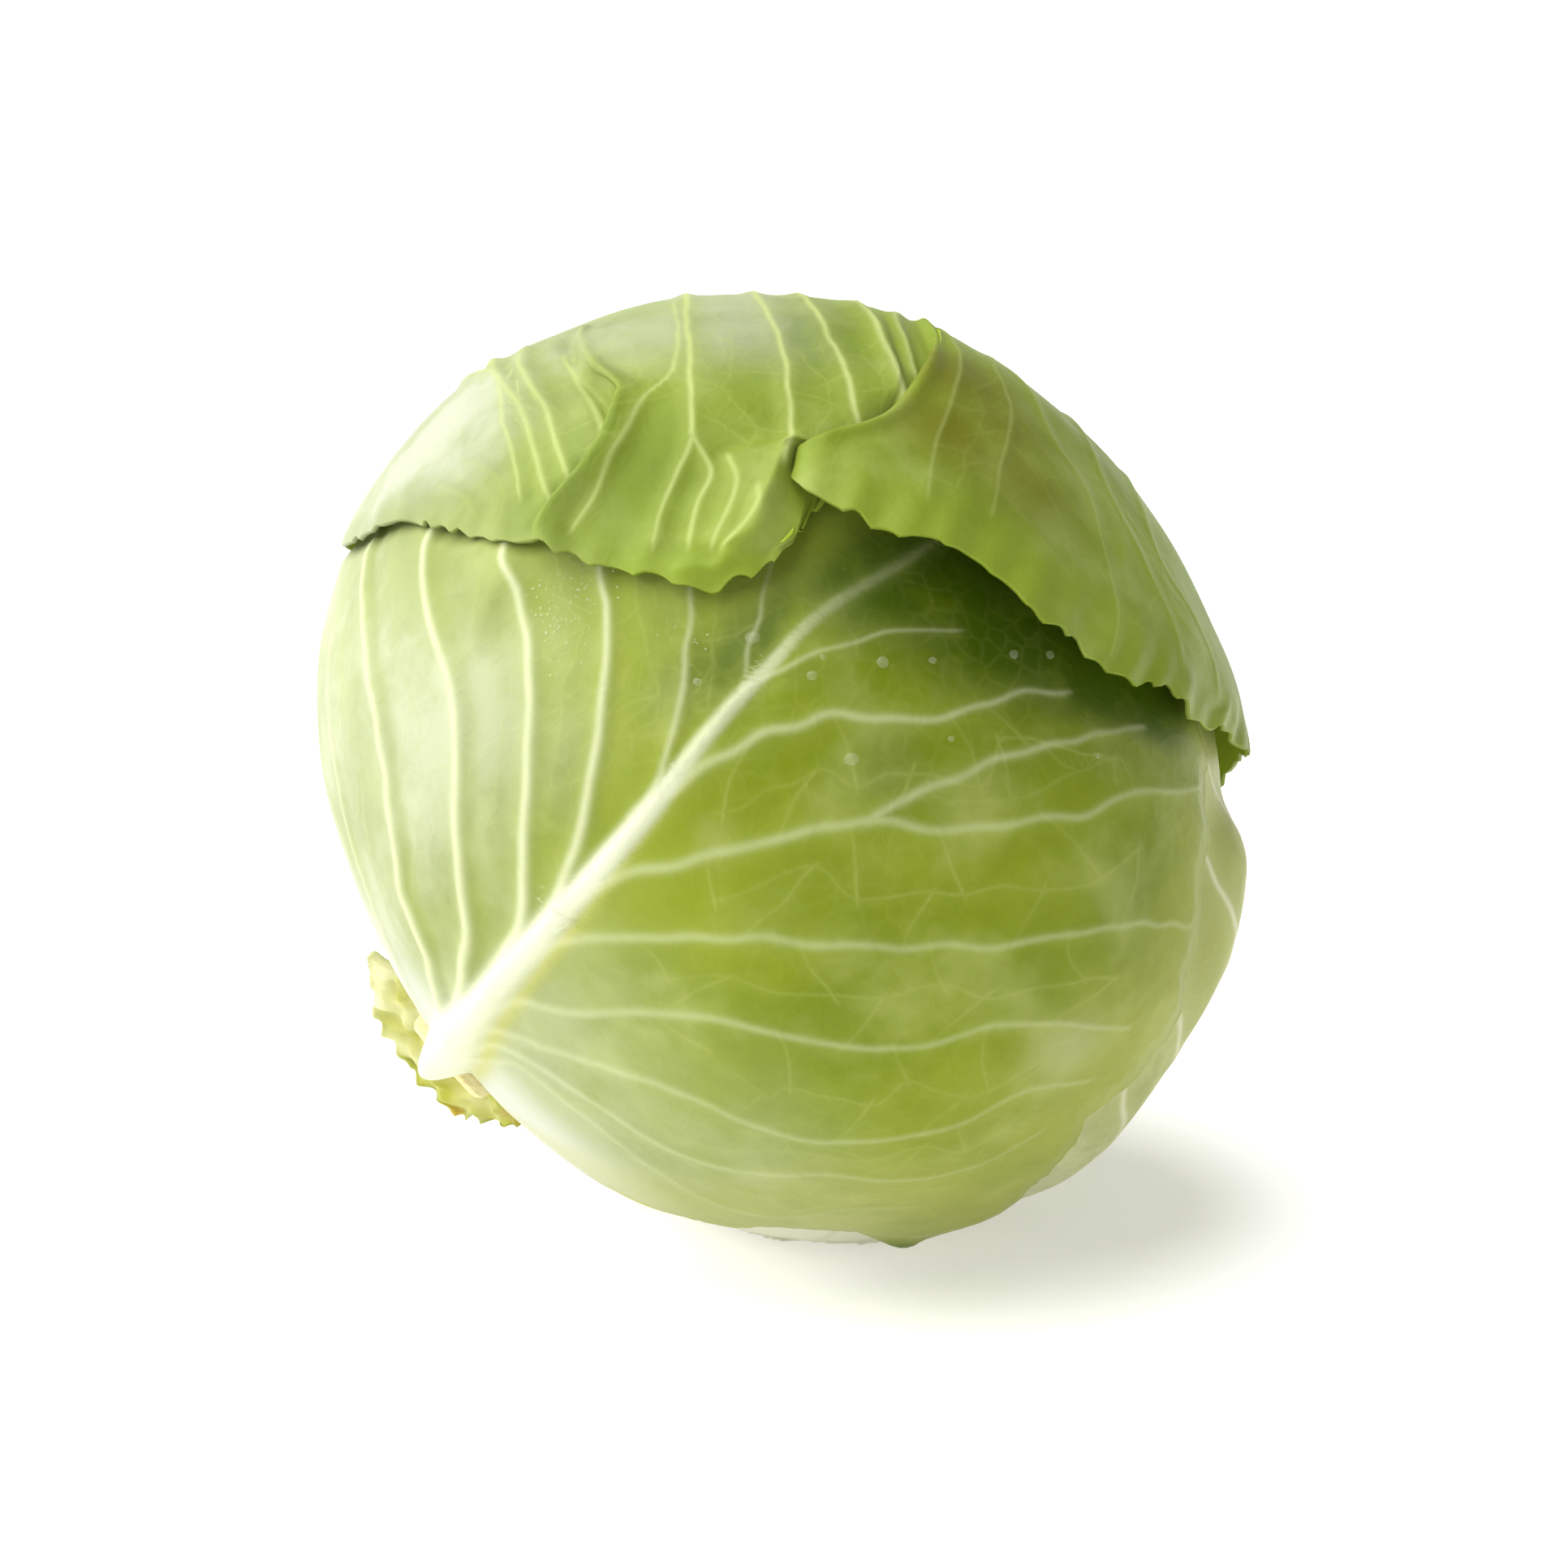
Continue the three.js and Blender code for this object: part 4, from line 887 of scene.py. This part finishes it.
def capPlace(u, v):
    s = capLeaf
    table = capLines()
    count = len(table)
    shares = curve([(0, 0), (0.12, 0.36), (0.45, 0.72), (1, 1)], np.linspace(0, 1, s["rows"] + 1))
    shares[0] = 0
    # columns are spread evenly along the margin, but wider apart where it lies on the back
    sample = np.linspace(0, count, 2400)
    turns = (0, 360, 0)  # going once round the leaf adds this to each of the three
    end, around, height = (acrossLines(part, sample, turn)[0]
                           for part, turn in zip(capCoarse(table, np.array([1.0])), turns))
    rim = atHeight(capTowards(end, around), height)
    pace = np.linalg.norm(np.diff(rim, axis=0), axis=1)
    weight = np.where(sample[1:] > count - len(backLines) + 0.5, 0.45, 1.0)
    walked = np.concatenate([[0], np.cumsum(pace * weight)])
    along = np.concatenate([[0], np.cumsum(pace)])
    position = np.interp(np.linspace(0, walked[-1], s["columns"] + 1), walked, sample)
    marginAt = np.interp(position, sample, along)
    out, around, height = (acrossLines(part, position, turn)
                           for part, turn in zip(capCoarse(table, shares), turns))
    i = np.rint(v * s["rows"]).astype(int)
    j = np.rint(u * s["columns"]).astype(int)
    out, around, height = out[i, j], around[i, j], height[i, j]
    share, line, margin = shares[i], position[j] % count, marginAt[j]
    atSeam = u > nearlyOne
    margin = np.where(atSeam, 0.0, margin)
    line = np.where(atSeam, 0.0, line)
    bite = teeth(margin, 2.1, 6.5, 8) * step(share, 0.93, 1)
    bite = bite * step(line, 0, 1) * (1 - step(line, count - 2, count - 1))  # none at the seam
    out = out - bite * 0.65
    flutter = 0.5 * np.sin(margin * 0.31) + 0.35 * np.sin(margin * 0.73 + 2)
    onFront = step(line, 1, 6) * (1 - step(line, 58, 64))
    height = height + flutter * step(share, 0.9, 1) * onFront
    directions = capTowards(out, around)
    # 0 left of the big tuck's fold, 1 on the side that lies over it
    tucked = step(line, 33, 36) * (1 - step(line, 60, 66)) * step(out, 40, 56)
    inFront = step(line, 30, 33) * (1 - step(line, 60, 66))
    onSide = (1 - tucked, 1 - (1 - tucked) * step(out, 40, 56))
    relief, marks = veinField(directions, allCapVeins(), capTowards, lambda one: onSide[one["side"]])
    midrib = pathOf(capMidrib, capTowards)
    nearest, away, _, _ = measured(directions, midrib)
    along = nearest / (len(midrib) - 1)
    ribWidth = 4.2 - 3.6 * along
    marks["acrossMid"] = np.clip(away / ribWidth, 0, farAcross)
    marks["whiteMid"] = 0.9 * (1 - step(along, 0.6, 1))
    relief = np.maximum(relief, (2.2 - 2 * along) * bell(away, ribWidth * 1.1) * (1 - step(along, 0.8, 1)))
    puff = capPuff(directions) * step(share, 0.2, 0.5)
    shaded = besideVeins(directions, capVeins[:5], 2.4, 2.4, capTowards) * (1 - tucked)
    leftFolds = (crease(directions, s["bigLip"], 0, 1.1) * step(out, 84, 94)
                 + crease(directions, s["smallLip"], 1.4, 1.3) + crease(directions, s["band"], 1.3, 0.3))
    folds = tucked * crease(directions, s["bigLip"], 1.2, 0) + (1 - tucked) * leftFolds - 0.35 * shaded
    outer = atHeight(directions, height + relief + puff + folds)
    grid = np.zeros((s["rows"] + 1, s["columns"] + 1, 3))
    grid[i, j] = outer
    inner = (grid - normalsOf(grid) * head["blade"])[i, j]
    inner = np.where((v < 1e-6)[:, None], atHeight(capMiddle[None], -head["blade"]), inner)

    def spot(fromMiddle, turn, size):
        return bell(apart(directions, capTowards(fromMiddle, turn)), size)

    warm = tucked * np.maximum.reduce([spot(82, 15, 9), 0.9 * spot(95, 14, 7), 0.8 * spot(96, 24, 8),
                                       0.8 * spot(88, 21, 10)])
    deep = 0.5 * spot(78, -5, 9) + 0.45 * spot(105, -22, 9) + 0.8 * spot(104, -2.4, 1.6) * (1 - tucked)
    turn = (around + 180) % 360 - 180
    # Painted light: the cap's left side, which faces the lamp, is painted paler, and it is made less pale on
    # the shaded side of its veins, as painted shade
    litLeftSide = step(-turn, 22, 48) * (1 - step(-turn, 80, 150))
    upper = (1 - step(out, 76, 94)) * (1 - inFront) * (1 - step(-turn, 80, 150)) * (1 - step(turn, -14, 4))
    fromStem = apart(directions, -crown)
    pale = np.maximum(0.84 * litLeftSide * (1 - 0.7 * step(out, 88, 104)), 0.5 * upper) * step(out, 15, 60)
    pale = np.maximum(pale, 0.8 * (1 - step(fromStem, 20, 60))) * (1 - 0.45 * shaded)
    bare = 0.8 * (1 - step(fromStem, 14, 36))
    return outer, inner, {**marks, "pale": pale, "deep": deep, "warm": warm, "bare": bare}


def normalsOf(grid):  # outward unit normals of a grid of points that closes on itself sideways
    ahead = np.roll(grid[:, :-1], -1, axis=1)
    behind = np.roll(grid[:, :-1], 1, axis=1)
    sideways = np.concatenate([ahead - behind, (ahead - behind)[:, :1]], axis=1)
    downwards = np.gradient(grid, axis=0)
    normal = np.cross(downwards, sideways)
    normal /= np.maximum(np.linalg.norm(normal, axis=2, keepdims=True), 1e-9)
    someRow = 5  # well away from the middle, where the grid's points meet
    return normal * np.sign(np.sum(normal[someRow] * (grid[someRow] - headCentre)))


blade("capLeaf", "cap_leaf", capLeaf, capPlace, seam=True)

# The two leaves next to the heart, and how far round the front leaf's margin reaches over them.
frontMargin = [(9, 95), (33, 91), (42, 83), (48, 77), (53, 75), (57, 77), (64, 85), (72, 86), (79, 80),
               (84, 74), (92, 71), (104, 72), (109, 68.5), (114, 65), (119, 62), (128, 61.5), (135, 62),
               (141, 52), (150, 30)]
underLook = {"green": "a9ae66", "dark": "989d52", "light": "b8bc7c", "deep": "848f3c", "warm": "b09c6c",
             "pale": "cfd0ac", "vein": "bfc28c", "rib": "d2d2b4", "midrib": "d2d2b4", "bare": "c8cab0",
             "sheen": (0.9, 1, 0.6, 1), "patchy": 0.6, "net": 0.25, "gloss": 0.42, "bump": 0.5, "glow": 0.2}
sideLeaf = {"columns": 210, "rows": 150, "middle": 123, "reach": 85, "spreadOut": 0.16, "tip": 154,
            "flat": True,
            "look": {**underLook, "green": "969c50", "dark": "888f44", "bare": "e4e4d0"}}
backLeaf = {"columns": 150, "rows": 110, "middle": -112, "reach": 76, "spreadOut": -0.12, "tip": 132,
            "flat": False,
            "look": {**underLook, "green": "93a456", "dark": "82964a", "pale": "c6cfa0"}}


def sideLevel(fromStem, around, directions):
    clearOfFront = step(around - curve(frontMargin, fromStem), 3, 18)
    clearOfCap = step(beyondCap(directions), 4, 18)
    swell = 3.9 + 1.3 * step(fromStem, 100, 122)
    return head["underLevel"] + swell * clearOfFront * clearOfCap - 2.6 * step(around, 143, 162)


def backLevel(fromStem, around, directions):
    clearOfCap = step(beyondCap(directions), 4, 18)
    return head["underLevel"] + 3.2 * step(-around, 107, 122) * (1 - step(-around, 160, 176)) * clearOfCap


def featherVeins(middle, reach, tip):  # a midrib with side veins that leave it in turn
    midrib = [(10, middle), (40, middle), (80, middle), (tip - 4, middle)]
    veins = [vein(midrib, (4.0, 1.0), (1.6, 0.4), (1, 0.7), set="C")]
    for k in range(9):
        start = 16 + 12 * k
        for hand in (-1, 1):
            path = []
            for t in (0, 0.25, 0.5, 0.75, 1):
                path.append((start + 3 * hand + 46 * t * (1 - 0.25 * t),
                             middle + hand * reach * 0.92 * t ** 0.9))
            path = [p for p in path if p[0] < tip - 2]
            if len(path) > 2:
                veins.append(vein(path, (1.1, 0.5), (0.6, 0.25), (0.8, 0.5), 0.5, set="AB"[k % 2]))
    return veins


def underPlace(s, levelAt):
    veins = featherVeins(s["middle"], s["reach"], s["tip"])

    def place(u, v):
        r = v ** 1.12
        t = 2 * u - 1
        width = s["reach"] * (1 + np.where(t < 0, s["spreadOut"], -0.12) * r * r)
        around = s["middle"] + t * width
        end = s["tip"] * (1 - 0.16 * t * t) + 1.2 * np.sin(9 * t + s["middle"])
        end = end - teeth(t * 120, 0.7, 7, 5) * step(v, 0.9, 1)
        foot = head["leafFoot"] + 3 * t * t
        fromStem = foot + (end - foot) * r
        directions = towards(fromStem, around)
        relief, marks = veinField(directions, veins, towards)
        rib = 3.2 * np.exp(-((t * width * np.sin(np.radians(fromStem)) * 1.5 / 5) ** 2)) * (1 - r) ** 2
        level = levelAt(fromStem, around, directions)
        level = level + 0.25 * ripples(directions, 0.4, 31) * step(r, 0.1, 0.3)
        outer = atHeight(directions, level + relief * 0.5)
        inner = atHeight(directions, level - head["blade"] - 0.6 * rib * (1 - step(r, 0.1, 0.5)))
        if s["flat"]:  # it lies flat on the floor where it comes within a millimetre of it
            outer[outer[:, 2] < 1, 2] = 0
            inner[:, 2] = np.where(inner[:, 2] < head["blade"], head["blade"], inner[:, 2])
        pale = 1 - 0.9 * step(fromStem, 25, 80)
        bare = 0.9 * (1 - step(fromStem, 50, 100))
        return outer, inner, {**marks, "pale": pale, "deep": 0.0, "warm": 0.0, "bare": bare}

    return place


blade("sideLeaf", "side_leaf", sideLeaf, underPlace(sideLeaf, sideLevel))
blade("backLeaf", "back_leaf", backLeaf, underPlace(backLeaf, backLevel))

# The torn foot of one more leaf.
tornLeaf = {
    "columns": 220, "rows": 60, "from": 136, "to": 256, "inner": 10.1, "outer": 24.5,
    "rim": [(136, 78.1), (143, 80.6), (152, 82.9), (164, 85.4), (180, 86.3), (200, 85.4), (226, 82),
            (244, 79.2), (256, 77.4)],
    "foot": [(136, 76.6), (180, 77.9), (205, 78), (222, 76.4), (256, 74)],
    "look": {**underLook, "green": "9c9c34", "dark": "868a20", "light": "adab54", "deep": "767c12",
             "warm": "a08a3c", "pale": "cac8a0", "vein": "b0ac5c", "rib": "c2bd84",
             "patchy": 0.9, "bump": 0.9},
}


def onAxis(along, out, around):
    b = np.radians(around)
    return (headCentre - np.asarray(along)[..., None] * crown + (out * np.cos(b))[..., None] * near
            + (out * np.sin(b))[..., None] * below)


def tornPlace(u, v):
    s = tornLeaf
    around = s["from"] + (s["to"] - s["from"]) * u
    tear = (teeth(u * 44, 1.6, 2.6, 12) + 0.4 * np.sin(u * 52)) * step(v, 0.75, 1)
    tear = tear * (1 - 0.6 * step(u, 0.35, 0.55))
    out = s["inner"] + (s["outer"] - tear - s["inner"]) * v ** 0.9
    foot = curve(s["foot"], around)
    along = foot + (curve(s["rim"], around) + 0.4 - foot) * v - tear
    lumps = onAxis(along, out, around)
    along = along + 0.35 * np.sin(u * 14 + 5 * v) + 0.55 * ripples(lumps, 5, 41) * step(v, 0.1, 0.4)
    out = out + 0.7 * ripples(lumps, 7, 42) * step(v, 0.3, 0.7) * (1 - step(v, 0.9, 1))
    thick = 2.2 - 0.9 * v
    outer = onAxis(along, out, around)
    inner = onAxis(along - thick, out + thick * 0.25, around)
    pale = (0.5 + 0.5 * ripples(lumps, 12, 43)) * (0.3 + 0.7 * step(u, 0.3, 0.5))
    warm = step(ripples(lumps, 15, 44), 0.2, 1) * (1 - step(u, 0.2, 0.4))
    marks = {"pale": np.clip(pale, 0, 1), "deep": step(v, 0.85, 1), "warm": warm}
    return outer, inner, marks


blade("tornLeaf", "torn_leaf", tornLeaf, tornPlace)

# The heart, and the cut stem.
heart = {"turns": 120, "rings": 70, "look": {**underLook, "green": "dfe4ab"}}


def heartPlace(turn, rise):
    fromStem = head["leafFoot"] + 165 * np.clip(rise, 0, 1)
    level = np.full(len(turn), head["heartLevel"] - 1.5)
    for start in (20, 140, 260):
        level += 0.5 * step(np.cos(np.radians(turn - start) + np.radians(fromStem) * 0.8), 0.1, 0.35)
    level += -2.4 * step(np.cos(np.radians(turn - 190)), 0.6, 0.95)
    points = atHeight(towards(fromStem, turn), level)
    points[rise < 1e-6] = headCentre + crown * (11 - head["poleRadius"])
    points[rise > 1 - 1e-6] = atHeight(crown[None], head["heartLevel"])
    return points, {"pale": 0.6, "deep": 0.0, "warm": 0.0}


lump("heart", "heart", heart, leafPaint("heart", heart["look"]), heartPlace)

# The stem's profile: share of the way from root to cut face, distance from the axis, distance along it.
stem = {"turns": 96, "rings": 80, "skin": "cfc48a", "cut": "cdb27c", "pith": "e9dfbb", "ring": "a98f55",
        "profile": [(0, 0, 69), (0.12, 8.2, 69), (0.3, 8.9, 71), (0.6, 9.2, 76.9), (0.72, 9.0, 78.5),
                    (0.8, 8.1, 79.3), (0.9, 5, 78.8), (1, 0, 78.4)]}


def stemPlace(turn, rise):
    shares, outs, alongs = zip(*stem["profile"])
    out, along = np.interp(rise, shares, outs), np.interp(rise, shares, alongs)
    out = out * (1 + 0.03 * np.sin(np.radians(3 * turn)) * step(out, 1, 4))
    points = onAxis(along, out, turn)
    face = step(rise, 0.76, 0.82)
    return points, {"face": face, "ring": face * bell(out - 6, 1.1)}


def stemPaint():
    paint, shader, start = newPaint("stem")
    place = start.node("ShaderNodeTexCoord", out="Object")
    fibres, blotch = start.cloud(place, 900.0, 3.0, 0.5), start.cloud(place, 180.0, 3.0, 0.5)
    cut = blotch.between(0.35, 0.65).blend(hue(stem["cut"]), hue(stem["pith"]))
    colour = start.mark("face").blend(hue(stem["skin"]), cut)
    ringed = (start.mark("ring") * 0.6 + fibres.between(0.55, 0.7) * 0.25).clipped()
    ringed.blend(colour, hue(stem["ring"])).into(shader, "Base Color")
    (0.55 + 0.25 * blotch).into(shader, "Roughness")
    rough = {"Strength": 0.6, "Distance": 0.0005, "Height": fibres + blotch}
    bump = start.node("ShaderNodeBump", None, rough)
    bump.into(shader, "Normal")
    return paint


lump("stem", "stem", stem, stemPaint(), stemPlace)

# Drops of dew, on the front leaf and the cap leaf: from the stem or the cap's middle, round it, spread in
# degrees, how many, and the size of a drop's foot.
dew = {
    "front": [(86, -31, 2.6, 70, 0.24), (83, -32, 2.4, 50, 0.24), (82, -28, 2, 30, 0.22),
              (91, -18, 1.6, 22, 0.24), (63, -45, 0.8, 5, 0.3), (97, -13, 0.1, 1, 1.1),
              (89, -13, 0.1, 1, 0.9), (99, -5, 0.1, 1, 0.9), (106, -1, 0.1, 1, 0.9),
              (111, 3, 0.1, 1, 0.8), (120, 10, 0.1, 1, 0.9), (124, 14, 0.1, 1, 0.8),
              (96, 5, 0.1, 1, 1.2), (106, 11, 0.1, 1, 0.8), (119, 28, 0.1, 1, 0.8),
              (101, -6, 0.1, 1, 0.7)],
    "cap": [(88, -10.6, 2.8, 60, 0.24), (110, -8, 2.2, 40, 0.22), (107, -10, 1.6, 20, 0.22)],
}


def makeDew():
    bm = bmesh.new()
    draw = np.random.default_rng(77)
    for which in ("front", "cap"):
        for fromMiddle, around, spread, count, size in dew[which]:
            for _ in range(count):
                a, b = draw.normal(0, spread, 2)
                a, b = np.array([fromMiddle + a]), np.array([around + b])
                foot = size * draw.uniform(0.7, 1.3)
                if which == "front":
                    way = towards(a, b)
                    height = frontSkin(way, a, b)
                else:
                    way = capTowards(a, b)
                    height = capPuff(way)
                place = Vector((atHeight(way, height)[0] * metre).tolist())
                turn = Vector(way[0].tolist()).to_track_quat("Z", "Y").to_matrix().to_4x4()
                spans = (foot * metre, foot * metre * draw.uniform(0.8, 1), foot * metre / 2, 1)
                flat = Matrix.Diagonal(spans)
                bmesh.ops.create_icosphere(bm, subdivisions=3 if foot > 0.6 else 2, radius=1,
                                           matrix=Matrix.Translation(place) @ turn @ flat)
    paint, shader, _ = newPaint("dew")
    setShader(shader, {"Base Color": hue("dfe8c0"), "Roughness": 0.05, "Specular IOR Level": 0.8,
                       "Alpha": 0.12})
    finish("dew", bm, None, paint)


makeDew()

bpy.context.view_layer.update()
